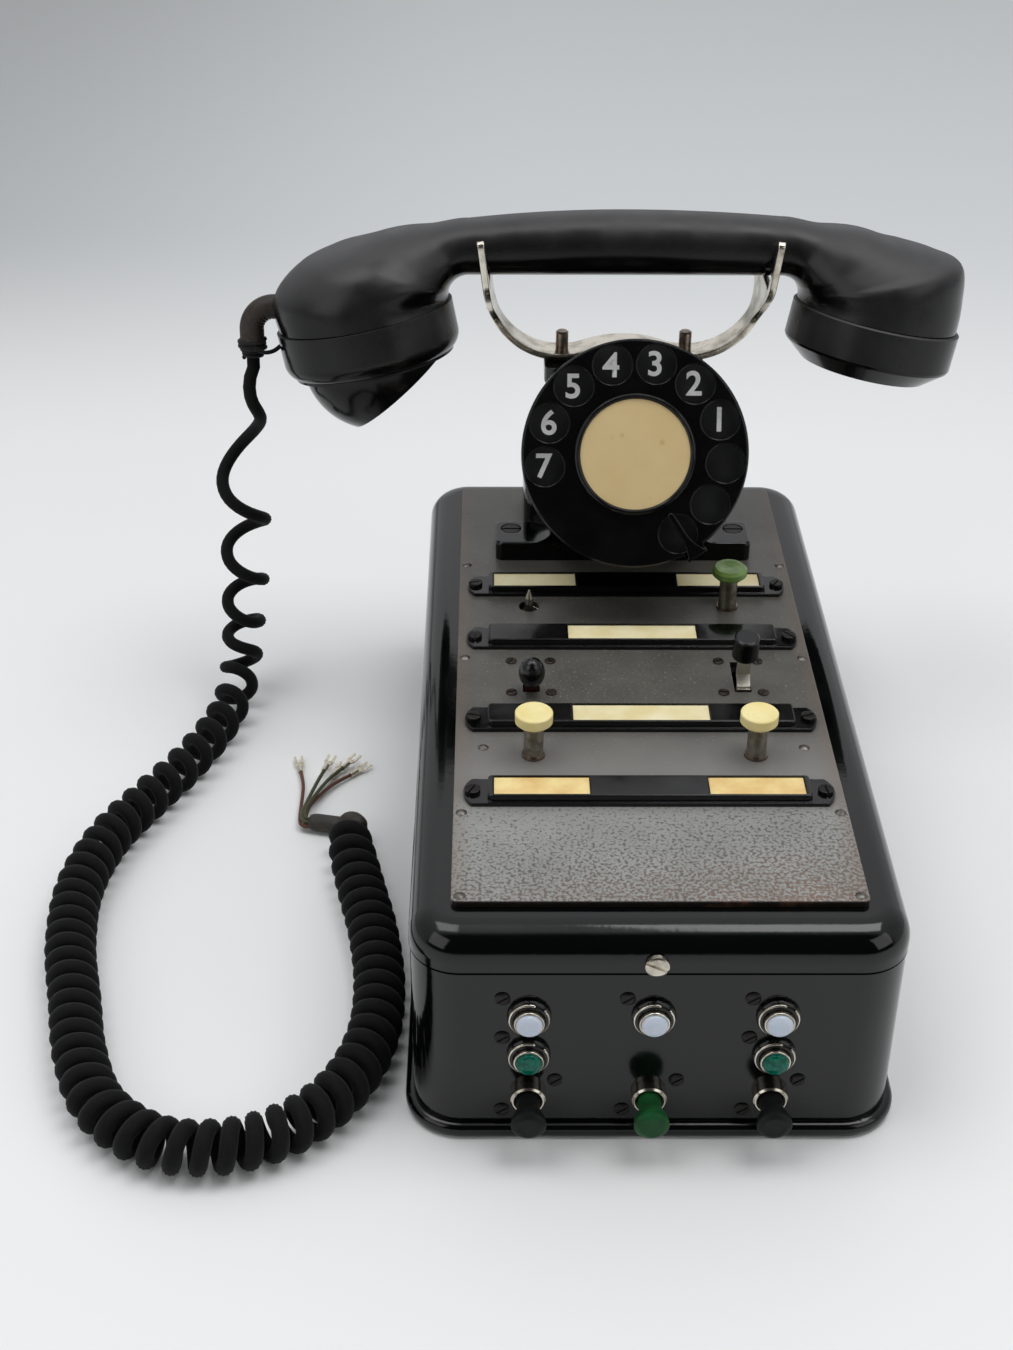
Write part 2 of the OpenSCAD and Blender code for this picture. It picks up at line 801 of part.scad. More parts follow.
module cable_bushes() {
  color("#2b2320") for (s = [-1, 1]) translate([s * inlet_x, -front_y, inlet_z])
    rotate([-90, 0, 0]) difference() {
      union() {
        cylinder(h = inlet_flange_t - bevel, r = inlet_flange_r);
        translate([0, 0, inlet_flange_t - bevel])
          cylinder(h = bevel, r1 = inlet_flange_r, r2 = inlet_flange_r - bevel);
        translate([0, 0, -wall_t - inlet_flange_t])
          cylinder(h = wall_t + inlet_flange_t, r = inlet_r + inlet_wall);
      }
      cylinder(h = 6 * wall_t, r = inlet_r, center = true);
    }
}

// Control panel

function rivet_places() =
  [for (p = rivets, s = [-1, 1]) [s * (panel_w / 2 - p.x), p.y]];

function rail_screw_places() =
  [for (y = [rail_rear_y, rail_upper_y, rail_lower_y, rail_front_y], s = [-1, 1])
    [s * (rail_w / 2 - rail_screw_in), y]];

function lever_screw_places() =
  [for (c = [-1, 1], sx = [-1, 1], sy = [-1, 1])
    [c * key_x + sx * lever_screw_x, lever_y + sy * lever_screw_y]];

function ear_screw_places() = [for (s = [-1, 1]) [s * (ear_w / 2 - ear_screw_in), ear_y + ear_screw_y]];

module panel_fastener_holes(r, places) {
  for (p = places) translate([p.x, p.y, seam_z]) cylinder(h = case_h, r = r);
}

module control_panel() {
  slot_half = pivot_depth * tan(lever_lean) + slot_end;
  color("#6e6760") difference() {
    translate([0, panel_y, panel_z]) soft_block(panel_w, panel_d, panel_t, panel_corner, panel_edge);
    panel_fastener_holes(rivet_shank_r + fit_gap, rivet_places());
    panel_fastener_holes(small_shank_r + fit_gap, rail_screw_places());
    panel_fastener_holes(small_shank_r + fit_gap, lever_screw_places());
    panel_fastener_holes(ear_shank_r + fit_gap, ear_screw_places());
    for (s = [-1, 1]) {
      translate([s * key_x, lever_y, panel_z + panel_t / 2])
        cube([lever_w + 2 * slot_side, 2 * slot_half, 2 * panel_t], center = true);
      key_hole(s * key_x, ivory_key_y, ivory_stem_r + guide_neck + fit_gap);
    }
    key_hole(key_x, rear_key_y, green_stem_r + guide_neck + fit_gap);
    key_hole(-key_x, rear_key_y, bare_hole_r);
    translate([0, (chamber_front + chamber_back) / 2, panel_z])
      cylinder(h = 3 * panel_t, r = chamber_w / 4, center = true);
  }
}

module key_hole(x, y, r) {
  translate([x, y, panel_z - cut_over]) cylinder(h = panel_t + 2 * cut_over, r = r);
}

module panel_rivets() {
  dome_r = (rivet_r * rivet_r + rivet_h * rivet_h) / (2 * rivet_h);
  color("dimgray") for (p = rivet_places()) translate([p.x, p.y, panel_top]) {
    intersection() {
      translate([0, 0, rivet_h - dome_r]) sphere(dome_r);
      cylinder(h = rivet_h, r = rivet_r);
    }
    translate([0, 0, -rivet_shank_l]) cylinder(h = rivet_shank_l, r = rivet_shank_r);
  }
}

// Outline of a rail's flange
module rail_plan() {
  intersection() {
    square([rail_w, rail_d], center = true);
    union() {
      square([rail_w - 2 * rail_end_r, 2 * rail_d], center = true);
      for (s = [-1, 1]) translate([s * (rail_w / 2 - rail_end_r), 0]) circle(rail_end_r);
    }
  }
}

// A label rail along X: flange, raised channel, windows given as [middle, width] pairs
module label_rail(y, windows) {
  color("#161616") translate([0, y, panel_top]) difference() {
    union() {
      linear_extrude(rail_base_t) rail_plan();
      soft_block(rail_w - 2 * channel_in, rail_d - 2 * channel_margin, rail_h, channel_corner, channel_edge);
    }
    for (w = windows) translate([w[0], 0, rail_h - window_depth / 2 + cut_over / 2])
      cube([w[1], window_d, window_depth + cut_over], center = true);
    for (s = [-1, 1]) translate([s * (rail_w / 2 - rail_screw_in), 0, -cut_over])
      cylinder(h = 3 * rail_base_t, r = small_shank_r + fit_gap);
  }
}

pair_windows = [[-pair_window_x, pair_window_w], [pair_window_x, pair_window_w]];
single_windows = [[0, single_window_w]];
rails = [[rail_rear_y, pair_windows], [rail_upper_y, single_windows],
  [rail_lower_y, single_windows], [rail_front_y, pair_windows]];

module label_rail_rear() {
  label_rail(rails[0][0], rails[0][1]);
}

module label_rail_upper() {
  label_rail(rails[1][0], rails[1][1]);
}

module label_rail_lower() {
  label_rail(rails[2][0], rails[2][1]);
}

module label_rail_front() {
  label_rail(rails[3][0], rails[3][1]);
}

module label_cards() {
  color("#e6d9a4") for (rail = rails, w = rail[1])
    translate([w[0], rail[0], panel_top + rail_h - window_depth + card_t / 2])
      cube([w[1] - 2 * card_gap, window_d - 2 * card_gap, card_t], center = true);
}

module panel_screws() {
  color("#1c1c1c") {
    for (p = rail_screw_places()) translate([p.x, p.y, panel_top + rail_base_t])
      slot_screw(small_head_r, small_head_h, small_shank_r, rail_base_t + panel_t - bevel, 3 * p.y);
    for (p = lever_screw_places()) translate([p.x, p.y, panel_top])
      slot_screw(small_head_r, small_head_h, small_shank_r, panel_t + frame_plate_t, 5 * p.y + p.x);
  }
}

// Keys

module lever_key_frames() {
  slot_half = pivot_depth * tan(lever_lean) + slot_end;
  frame_d = 2 * (lever_screw_y + frame_margin);
  cheek_h = pivot_depth - panel_t + frame_below;
  color("silver") for (s = [-1, 1]) translate([s * key_x, lever_y, panel_z]) difference() {
    union() {
      translate([0, 0, -frame_plate_t]) slab(frame_w, frame_d, frame_plate_t, frame_corner);
      for (c = [-1, 1]) translate([c * (lever_w / 2 + slot_side + frame_cheek_t / 2), 0, -cheek_h / 2])
        cube([frame_cheek_t, frame_cheek_d, cheek_h], center = true);
    }
    cube([lever_w + 2 * slot_side, 2 * slot_half, 4 * frame_plate_t], center = true);
    for (sx = [-1, 1], sy = [-1, 1])
      translate([sx * lever_screw_x, sy * lever_screw_y, -2 * frame_plate_t])
        cylinder(h = 4 * frame_plate_t, r = small_shank_r + fit_gap);
    translate([0, 0, panel_t - pivot_depth]) rotate([0, 90, 0])
      cylinder(h = frame_w, r = lever_pin_r + fit_gap, center = true);
  }
}

// A lever's flat arm with its pivot pin, in the frame of its pivot: z along the arm
module lever_arm(arm_l) {
  pin_l = lever_w + 2 * slot_side + 2 * frame_cheek_t;
  translate([-lever_w / 2, -lever_t / 2, -lever_t]) cube([lever_w, lever_t, arm_l + lever_t]);
  rotate([0, 90, 0]) cylinder(h = pin_l, r = lever_pin_r, center = true);
}

module at_lever(s) {
  translate([s * key_x, lever_y, panel_top - pivot_depth]) rotate([lever_lean, 0, 0]) children();
}

left_arm_l = pivot_depth / cos(lever_lean) + left_knob_z + olive_h / 2;
right_arm_l = pivot_depth / cos(lever_lean) + bent_foot;

module left_lever() {
  color("silver") at_lever(-1) lever_arm(left_arm_l);
}

module left_lever_knob() {
  color("#151515") at_lever(-1) translate([0, 0, pivot_depth / cos(lever_lean) + left_knob_z])
    difference() {
      rotate_extrude() polygon(olive_side());
      lever_socket(olive_h / 2, lever_t);
    }
}

// Half outline of the olive knob, flat where the arm enters
function olive_side() = let (low = olive_h / 2 * (1 + sin(olive_foot)))
  concat([[0, low]], [for (k = [0 : olive_steps]) let (a = olive_foot + (90 - olive_foot) * k / olive_steps)
    [olive_r * cos(a), olive_h / 2 * (1 + sin(a))]]);

module lever_socket(depth, thick) {
  translate([-lever_w / 2 - knob_bore, -thick / 2 - knob_bore, -cut_over])
    cube([lever_w + 2 * knob_bore, thick + 2 * knob_bore, depth + cut_over + knob_bore]);
}

// A length of the right arm's bent strip, with a round bend at its foot
module bent_run(l) {
  translate([-lever_w / 2, -bent_t / 2, 0]) cube([lever_w, bent_t, l]);
  rotate([0, 90, 0]) cylinder(h = lever_w, r = bent_t / 2, center = true);
}

module right_lever() {
  color("silver") {
    at_lever(1) lever_arm(right_arm_l);
    at_back_run() bent_run(bent_back_l);
    at_up_run() bent_run(bent_up_l + barrel_h / 2);
  }
}

module at_back_run() {
  at_lever(1) translate([0, 0, right_arm_l]) rotate([-lever_lean - bent_back_lean, 0, 0]) children();
}

module at_up_run() {
  at_back_run() translate([0, 0, bent_back_l]) rotate([bent_back_lean + bent_up_lean, 0, 0]) children();
}

module right_lever_knob() {
  color("#151515") at_up_run() translate([0, 0, bent_up_l]) difference() {
    rotate_extrude() polygon([
      [0, 0], [barrel_r - 2 * bevel, 0], [barrel_r, 2 * bevel], [barrel_top_r, barrel_h - bevel],
      [barrel_top_r - bevel, barrel_h], [0, barrel_h]
    ]);
    lever_socket(barrel_h / 2, bent_t);
  }
}

// The tube that guides a push key, with a neck that shows above the panel
module push_guide(x, y, r, collared) {
  bore = r + slide_gap;
  translate([x, y, panel_z]) difference() {
    union() {
      translate([0, 0, -guide_depth]) cylinder(h = guide_depth, r = r + guide_wall);
      if (collared) cylinder(h = panel_t + guide_collar_h, r = r + guide_neck);
    }
    translate([0, 0, guide_floor - guide_depth]) cylinder(h = 2 * guide_depth, r = bore);
  }
}

module push_key_guides() {
  color("dimgray") {
    for (s = [-1, 1]) push_guide(s * key_x, ivory_key_y, ivory_stem_r, true);
    push_guide(key_x, rear_key_y, green_stem_r, true);
    push_guide(-key_x, rear_key_y, pin_r, false);
  }
}

stem_low = panel_z - guide_depth + guide_floor + key_travel + stem_free;

module key_stem(x, y, r) {
  seat = key_h - cap_t + cap_seat;
  translate([x, y, stem_low]) cylinder(h = panel_top + seat - stem_low, r = r);
}

// A turned cap with a dished top; edge gives its lower and its upper chamfer
module key_cap(x, y, r, socket_r, edge) {
  translate([x, y, panel_top + key_h - cap_t]) difference() {
    rotate_extrude() polygon([
      [0, 0], [r - edge[0], 0], [r, edge[0]], [r, cap_t - edge[1]], [r - edge[1], cap_t],
      [r - edge[1] - cap_rim, cap_t], [0, cap_t - cap_dish]
    ]);
    translate([0, 0, -cut_over]) cylinder(h = cap_seat + cut_over, r = socket_r + fit_gap);
  }
}

module green_key_stem() {
  color("#77756c") key_stem(key_x, rear_key_y, green_stem_r);
}

module green_key_cap() {
  color("#9cad76") key_cap(key_x, rear_key_y, green_cap_r, green_stem_r, green_edge);
}

module left_ivory_stem() {
  color("#3a332b") key_stem(-key_x, ivory_key_y, ivory_stem_r);
}

module left_ivory_cap() {
  color("#e9dfbe") key_cap(-key_x, ivory_key_y, ivory_cap_r, ivory_stem_r, ivory_edge);
}

module right_ivory_stem() {
  color("#3a332b") key_stem(key_x, ivory_key_y, ivory_stem_r);
}

module right_ivory_cap() {
  color("#e9dfbe") key_cap(key_x, ivory_key_y, ivory_cap_r, ivory_stem_r, ivory_edge);
}

module bare_key_pin() {
  color("silver") translate([-key_x, rear_key_y, stem_low]) {
    cylinder(h = panel_top + pin_h - pin_point - stem_low, r = pin_r);
    translate([0, 0, panel_top + pin_h - pin_point - stem_low])
      cylinder(h = pin_point, r1 = pin_r, r2 = pin_r / 5);
  }
}

// Lamps and buttons on the front

module lamp_bezels() {
  lip_r = bezel_bore + bezel_wall + bezel_lip_out;
  color("silver") for (p = lamp_places) at_front(p.x * front_pitch, p[1]) rotate_extrude() polygon([
    [bezel_bore, -bezel_depth], [bezel_tube_r, -bezel_depth], [bezel_tube_r, 0], [bezel_r, 0],
    [bezel_r, bezel_flange_t - bevel], [bezel_r - bevel, bezel_flange_t], [lip_r, bezel_flange_t],
    [lip_r, bezel_lip], [bezel_bore, bezel_lip]
  ]);
}

module lens() {
  intersection() {
    translate([0, 0, -lens_seat]) cylinder(h = lens_out + lens_seat, r = lens_r);
    translate([0, 0, lens_out - lens_dome_r]) sphere(lens_dome_r);
  }
}

module white_lenses() {
  color("#dde6f2") for (c = [-1 : 1]) at_front(c * front_pitch, white_z) lens();
}

module green_lenses() {
  color("#2f8f80") for (c = [-1, 1]) at_front(c * front_pitch, green_z) lens();
}

module lamp_bulbs() {
  color("#f0ead0") for (p = lamp_places) at_front(p.x * front_pitch, p[1]) {
    translate([0, 0, -bezel_depth]) cylinder(h = bulb_cap_l, r = lens_r);
    translate([0, 0, -bezel_depth + bulb_cap_l]) cylinder(h = bulb_r, r = bulb_r - 1);
    translate([0, 0, -bezel_depth + bulb_cap_l + bulb_r]) sphere(bulb_r);
  }
}

module front_screw_places() {
  for (p = lamp_places) at_front(p.x * front_pitch + lamp_screw.x, p[1] + lamp_screw.y) children();
  for (c = [-1 : 1], s = [-1, 1])
    at_front(c * front_pitch + s * button_screw.x, button_z + s * button_screw.y) children();
}

module front_screws() {
  color("#1a1a1a") front_screw_places()
    slot_screw(front_head_r, front_head_h, small_shank_r, wall_t + bevel, 35);
}

module button_collars() {
  color("silver") for (c = [-1 : 1]) at_front(c * front_pitch, button_z) rotate_extrude() polygon([
    [collar_bore, -collar_depth], [collar_tube_r, -collar_depth], [collar_tube_r, 0], [collar_r, 0],
    [collar_r, collar_out - bevel], [collar_r - bevel, collar_out],
    [collar_bore + collar_lip, collar_out], [collar_bore, collar_out - collar_lip]
  ]);
}

// A waisted push button with its stem and retaining clip
module push_button(column) {
  flare_z = collar_out + button_travel + seat_gap;
  flare_top = button_out - head_edge;
  flare = [for (k = [0 : flare_steps]) let (f = k / flare_steps)
    [stem_r + (button_r - stem_r) * (1 - cos(180 * f)) / 2, flare_z + (flare_top - flare_z) * f]];
  clip_z = -collar_depth - seat_gap;
  at_front(column * front_pitch, button_z) {
    rotate_extrude() polygon(concat(
      [[0, clip_z - clip_t - stem_tail], [stem_r, clip_z - clip_t - stem_tail],
        [stem_r, clip_z - clip_t], [clip_r, clip_z - clip_t], [clip_r, clip_z], [stem_r, clip_z]],
      flare,
      [[button_r, button_out - 2 * bevel], [button_r - bevel, button_out - bevel],
        [button_r - 3 * bevel, button_out], [0, button_out]]));
  }
}

module left_button() {
  color("#202020") push_button(-1);
}

module middle_button() {
  color("#1f4a2b") push_button(0);
}

module right_button() {
  color("#202020") push_button(1);
}

// Contact brackets stand on the inside of the front wall behind the buttons
module button_contacts() {
  far = collar_depth + seat_gap + clip_t + stem_tail + button_travel + seat_gap;
  color("#b59a5b") for (c = [-1 : 1]) at_front(c * front_pitch, button_z) {
    translate([-contact_w / 2, -contact_h / 2, -far - contact_t]) cube([contact_w, contact_h, contact_t]);
    for (s = [-1, 1]) translate([s * (contact_w - contact_leg) / 2 - contact_leg / 2,
      -contact_h / 2, -far]) cube([contact_leg, contact_h, far - wall_t]);
  }
}

module terminal_strip() {
  color("#3a2c20") translate([-strip_block.x / 2, strip_y, base_t]) difference() {
    cube(strip_block);
    for (k = [0 : strip_screws - 1], y = [1, 3])
      translate([(k + 0.5) * strip_block.x / strip_screws, y * strip_block.y / 4, strip_block.z / 2])
        cylinder(h = strip_block.z, r = strip_screw_r);
  }
}

// Dial pedestal

module ear_fillets() {
  for (s = [-1, 1]) translate([s * front_neck_w / 2, ear_y + ear_d, panel_top + ear_t])
    mirror([s > 0 ? 0 : 1, 0, 0]) rotate([90, 0, 0]) linear_extrude(ear_d) difference() {
      square(ear_fillet);
      translate([ear_fillet, ear_fillet]) circle(ear_fillet);
    }
}

// Side view of the neck, from the foot up to the dial's cup and the guide block
module neck_side() {
  cup_back = can_top - can_depth - cup_floor / 2;
  back = [dial_y - cup_back * cos(dial_tilt), dial_z + cup_back * sin(dial_tilt)];
  across = [sin(dial_tilt), cos(dial_tilt)];
  top = back + (cup_r - neck_top_in) * across;
  low = back - (cup_r - neck_low_in) * across;
  difference() {
    polygon([[neck_front, neck_low], [foot_back, neck_low], [foot_back, guide_low],
      [guide_front, guide_low], top, low]);
    translate([hollow_y, guide_low + hollow_r]) circle(hollow_r);
  }
}

module dial_pedestal() {
  foot_d = foot_back - foot_front;
  color("#161616") difference() {
    union() {
      translate([0, ear_y + ear_d / 2, panel_top]) soft_block(ear_w, ear_d, ear_t, ear_corner, ear_bevel);
      translate([0, foot_back - foot_d / 2, panel_top])
        soft_block(foot_w, foot_d, foot_h, foot_corner, foot_edge);
      ear_fillets();
      translate([-front_neck_w / 2, ear_y, panel_top + ear_t / 2])
        cube([front_neck_w, ear_d, ear_fillet + ear_t / 2]);
      rotate([90, 0, 90]) linear_extrude(neck_w, center = true) neck_side();
      at_dial() translate([0, 0, can_top - can_depth - cup_floor])
        cylinder(h = can_depth + cup_floor, r = cup_r);
    }
    at_dial() translate([0, 0, can_top - can_depth - seat_gap])
      cylinder(h = can_depth + cut_over + seat_gap, r = can_r + fit_gap);
    translate([-chamber_w / 2, chamber_front, panel_top - cut_over])
      cube([chamber_w, chamber_back - chamber_front, guide_low - chamber_wall - panel_top + cut_over]);
    for (p = ear_screw_places()) translate([p.x, p.y, panel_top]) {
      translate([0, 0, -cut_over]) cylinder(h = ear_t + 2 * cut_over, r = ear_shank_r + fit_gap);
      translate([0, 0, ear_t - ear_head_h])
        cylinder(h = ear_head_h + cut_over, r = ear_head_r + fit_gap);
    }
    for (s = [-1, 1]) translate([s * post_x, cradle_y, post_bore_low])
      cylinder(h = guide_top, r = post_r + slide_gap);
  }
}

module pedestal_screws() {
  color("#2a2a2a") for (p = ear_screw_places()) translate([p.x, p.y, panel_top + ear_t - ear_head_h])
    slot_screw(ear_head_r, ear_head_h, ear_shank_r, ear_t - ear_head_h + panel_t, 0);
}

module hook_guide() {
  guide_d = foot_back - guide_front;
  color("#141414") translate([0, guide_front + guide_d / 2, guide_low]) difference() {
    translate([0, 0, guide_h]) mirror([0, 0, 1])
      soft_block(guide_w, guide_d, guide_h, guide_corner, guide_corner / 2);
    for (s = [-1, 1]) translate([s * post_x, cradle_y - guide_front - guide_d / 2, -cut_over])
      cylinder(h = guide_h + 2 * cut_over, r = post_r + slide_gap);
  }
}

// A pile of contact blades on the back wall of the pedestal's chamber
module hook_contacts() {
  color("#b59a5b") translate([0, chamber_back, panel_top + foot_h]) {
    translate([-blade.y, -blade.y, 0]) cube([2 * blade.y, blade.y, contact_blades * blade_step]);
    for (k = [0 : contact_blades - 1]) translate([-blade.y / 2, -blade.x, (k + 0.5) * blade_step])
      cube([blade.y, blade.x, blade.z]);
  }
}

// Dial

module dial_can() {
  color("#4a4a48") at_dial() difference() {
    union() {
      translate([0, 0, can_top - can_depth]) cylinder(h = can_depth, r = can_r);
      translate([0, 0, can_top]) cylinder(h = bezel_plate_t, r = can_flange_r);
    }
    translate([0, 0, can_top - can_depth + cup_floor])
      cylinder(h = can_depth + bezel_plate_t, r = spindle_r + spindle_fit);
  }
}

module number_plate() {
  color("#1d1f21") at_dial() translate([0, 0, plate_z - plate_t]) difference() {
    cylinder(h = plate_t, r = plate_r);
    translate([0, 0, -cut_over]) cylinder(h = plate_t + 2 * cut_over, r = spindle_r + spindle_fit);
  }
}

// A bent blade: foot under the can's flange, riser outside the wheel, blade over the wheel
module finger_stop() {
  foot_in = cup_r + seat_gap;
  blade_top = stop_gap + stop_t;
  root_w = stop_tip_w + stop_flare[0] + stop_flare[1];
  low = -stop_tip_w - stop_flare[1];
  tip = stop_tip_r + stop_tip_w / 2;
  edge = [for (k = [0 : stop_steps]) k / stop_steps];
  color("#101010") at_dial() rotate(stop_angle) {
    translate([foot_in, low, can_top - stop_t]) cube([stop_reach - foot_in, root_w, stop_t]);
    translate([stop_reach - stop_rise, low, can_top - stop_t])
      cube([stop_rise, root_w, blade_top - can_top + stop_t]);
    translate([0, 0, stop_gap]) linear_extrude(stop_t) {
      polygon(concat([[tip, 0]],
        [for (f = edge) [stop_flare_r + (stop_reach - stop_flare_r) * f, stop_flare[0] * f * f]],
        [for (f = reversed(edge))
          [stop_flare_r + (stop_reach - stop_flare_r) * f, -stop_tip_w - stop_flare[1] * f * f]],
        [[tip, -stop_tip_w]]));
      translate([tip, -stop_tip_w / 2]) circle(stop_tip_w / 2);
    }
  }
}

module dial_spindle() {
  color("silver") at_dial() translate([0, 0, can_top - can_depth + cup_floor + seat_gap])
    cylinder(h = can_depth - cup_floor - seat_gap - can_top, r = spindle_r);
}

module finger_wheel() {
  color("#0d0d0d") at_dial() difference() {
    translate([0, 0, -wheel_t]) union() {
      cylinder(h = wheel_t - bevel, r = wheel_r);
      translate([0, 0, wheel_t - bevel]) cylinder(h = bevel, r1 = wheel_r, r2 = wheel_r - bevel);
    }
    for (k = [0 : hole_count - 1]) rotate(first_hole + k * hole_step)
      translate([finger_circle_r, 0, -2 * wheel_t]) cylinder(h = 4 * wheel_t, r = finger_r);
    translate([0, 0, -2 * wheel_t]) cylinder(h = 4 * wheel_t, r = spindle_r);
  }
}

module dial_disc() {
  color("#e2d3a6") at_dial() cylinder(h = disc_t, r = disc_r);
}

module disc_ring() {
  color("#26221c") at_dial() rotate_extrude() polygon([
    [disc_r + fit_gap, 0], [disc_r + ring_w, 0], [disc_r + ring_w, ring_up - bevel],
    [disc_r + ring_w - bevel, ring_up], [disc_r + fit_gap + bevel, ring_up],
    [disc_r + fit_gap, ring_up - bevel]
  ]);
}

// Cradle

// Right half of the bent strip's centre line: x, z and the direction across the strip
function strip_half() = concat(
  [for (k = [0 : hump_steps]) let (a = 90 - hump_half * k / hump_steps)
    [hump_r * cos(a), hump_z + hump_r * sin(a), cos(a), sin(a)]],
  [for (k = [1 : bend_steps]) let (a = 270 - hump_half + (hump_half + arm_turn) * k / bend_steps)
    [bend_x + bend_r * cos(a), bend_z + bend_r * sin(a), -cos(a), -sin(a)]],
  [[bend_x + bend_r * sin(arm_turn) + arm_l * cos(arm_turn),
    bend_z - bend_r * cos(arm_turn) + arm_l * sin(arm_turn), -sin(arm_turn), cos(arm_turn)]]);

// Front view of the bent strip, at full fork width
module strip_band() {
  half = strip_half();
  last = len(half) - 1;
  line = concat([for (k = [last : -1 : 1]) [-half[k][0], half[k][1], -half[k][2], half[k][3]]], half);
  above = [for (p = line) [p[0] + p[2] * strip_t / 2, p[1] + p[3] * strip_t / 2]];
  below = [for (k = [len(line) - 1 : -1 : 0]) let (p = line[k])
    [p[0] - p[2] * strip_t / 2, p[1] - p[3] * strip_t / 2]];
  rotate([90, 0, 0]) linear_extrude(2 * fork_out, center = true) polygon(concat(above, below));
}

// Side view of the strip: a waist that spreads into two tines on each side
module fork_side() {
  tine_mid = (fork_out + fork_in) / 2;
  difference() {
    union() {
      translate([-strip_w / 2, cradle_z - strip_w]) square([strip_w, fork_spread - cradle_z + strip_w]);
      polygon([[-strip_w / 2, fork_shoulder], [strip_w / 2, fork_shoulder],
        [fork_out, fork_spread], [fork_out, fork_tip - fork_round], [-fork_out, fork_tip - fork_round],
        [-fork_out, fork_spread]]);
      for (s = [-1, 1]) translate([s * tine_mid, fork_tip - fork_round]) circle(fork_round);
    }
    translate([-fork_in, notch_z]) square([2 * fork_in, fork_tip]);
  }
}

module cradle_strip() {
  color("silver") difference() {
    translate([0, cradle_y, 0]) intersection() {
      strip_band();
      rotate([90, 0, 90]) linear_extrude(4 * (bend_x + bend_r), center = true) fork_side();
    }
    for (s = [-1, 1]) translate([s * post_x, cradle_y, cradle_z - strip_w])
      cylinder(h = 2 * strip_w, r = post_r + fit_gap / 2);
  }
}

module cradle_posts() {
  color("silver") for (s = [-1, 1]) translate([s * post_x, cradle_y, post_low]) {
    cylinder(h = cradle_z + post_h - bevel - post_low, r = post_r);
    translate([0, 0, cradle_z + post_h - bevel - post_low])
      cylinder(h = bevel, r1 = post_r, r2 = post_r - bevel);
  }
}

// Handset

// One closed section: centre, direction across it, half sizes and squareness
function section(mid, dir, half, half_w, n) =
  [for (k = [0 : section_sides - 1]) let (
      a = 360 * k / section_sides, c = cos(a), s = sin(a),
      along = half * sign(c) * pow(abs(c), 2 / n), side = half_w * sign(s) * pow(abs(s), 2 / n)
    ) [mid.x + along * dir.x, side, mid.z + along * dir.z]];

// Sections swept round an elbow from its cup to the grip; side is -1 for the mouthpiece end
function fan_sections(rows, side) =
  [for (k = [0 : fan_steps - 1]) let (
      row = curve_at(rows, k * (len(rows) - 1) / fan_steps),
      dir = [-side * cos(row[0]), 0, sin(row[0])],
      mid = [side * elbow_x, 0, elbow_z] + dir * (elbow_r + row[1]) / 2
    ) section(mid, dir, (row[1] - elbow_r) / 2, row[2], row[3])];

function grip_sections() =
  [for (k = [0 : grip_steps]) let (
      x = elbow_x * (2 * k / grip_steps - 1), f = x / elbow_x,
      top = grip_h / 2 - grip_fall * f * f
    ) section([x, 0, (top + grip_low) / 2], [0, 0, 1], (top - grip_low) / 2, grip_half_w, section_n)];

function reversed(list) = [for (k = [len(list) - 1 : -1 : 0]) list[k]];

module handset_handle() {
  rings = concat(fan_sections(mouth_fan, -1), grip_sections(), reversed(fan_sections(ear_fan, 1)));
  m = section_sides;
  n = len(rings);
  walls = [for (i = [0 : n - 2], k = [0 : m - 1]) let (
      a = i * m + k, b = i * m + (k + 1) % m, c = a + m, d = b + m
    ) each [[a, c, b], [b, c, d]]];
  caps = [for (k = [1 : m - 2]) each [[0, k, k + 1], [(n - 1) * m, (n - 1) * m + k + 1, (n - 1) * m + k]]];
  color("#1b1b1c") at_handset()
    polyhedron([for (r = rings) each r], concat(walls, caps), convexity = 6);
}

module mouthpiece_ring() {
  r = mouth_cup_r + ring_proud;
  bore = mouth_cup_r + ring_proud - cup_ring_wall;
  color("#141414") at_handset() at_cup(-1, mouth_cup_r) rotate_extrude() difference() {
    union() {
      square([r, ring_h - ring_lip]);
      translate([0, ring_h - ring_lip]) square([r - ring_lip, 2 * ring_lip]);
      translate([r - 2 * ring_lip, ring_h - ring_lip]) quarter(2 * ring_lip);
    }
    translate([0, -cut_over]) square([bore, ring_h + cut_over]);
    square([horn_r + fit_gap, 2 * ring_h]);
  }
}

module mouthpiece_horn() {
  flange_r = mouth_cup_r + ring_proud - cup_ring_wall - capsule_gap;
  neck = horn_r - horn_wall;
  color("#141414") at_handset() at_cup(-1, mouth_cup_r) difference() {
    union() {
      translate([0, 0, ring_h - horn_flange_t]) cylinder(h = horn_flange_t, r = flange_r);
      translate([0, 0, ring_h - horn_flange_t]) cylinder(h = horn_z - ring_h + horn_flange_t, r = horn_r);
      translate([0, 0, horn_z]) sphere(horn_r);
    }
    translate([0, 0, horn_z]) sphere(neck);
    translate([0, 0, -ring_h]) cylinder(h = ring_h + horn_z, r = neck);
    translate([0, 0, -horn_r]) cylinder(h = horn_r + ring_h - horn_flange_t, r = 2 * horn_r);
    translate([horn_cut_x, 0, horn_cut_z]) rotate([0, -horn_cut_angle, 0])
      translate([-2 * horn_r, -2 * horn_r, 0]) cube(6 * horn_r);
  }
}

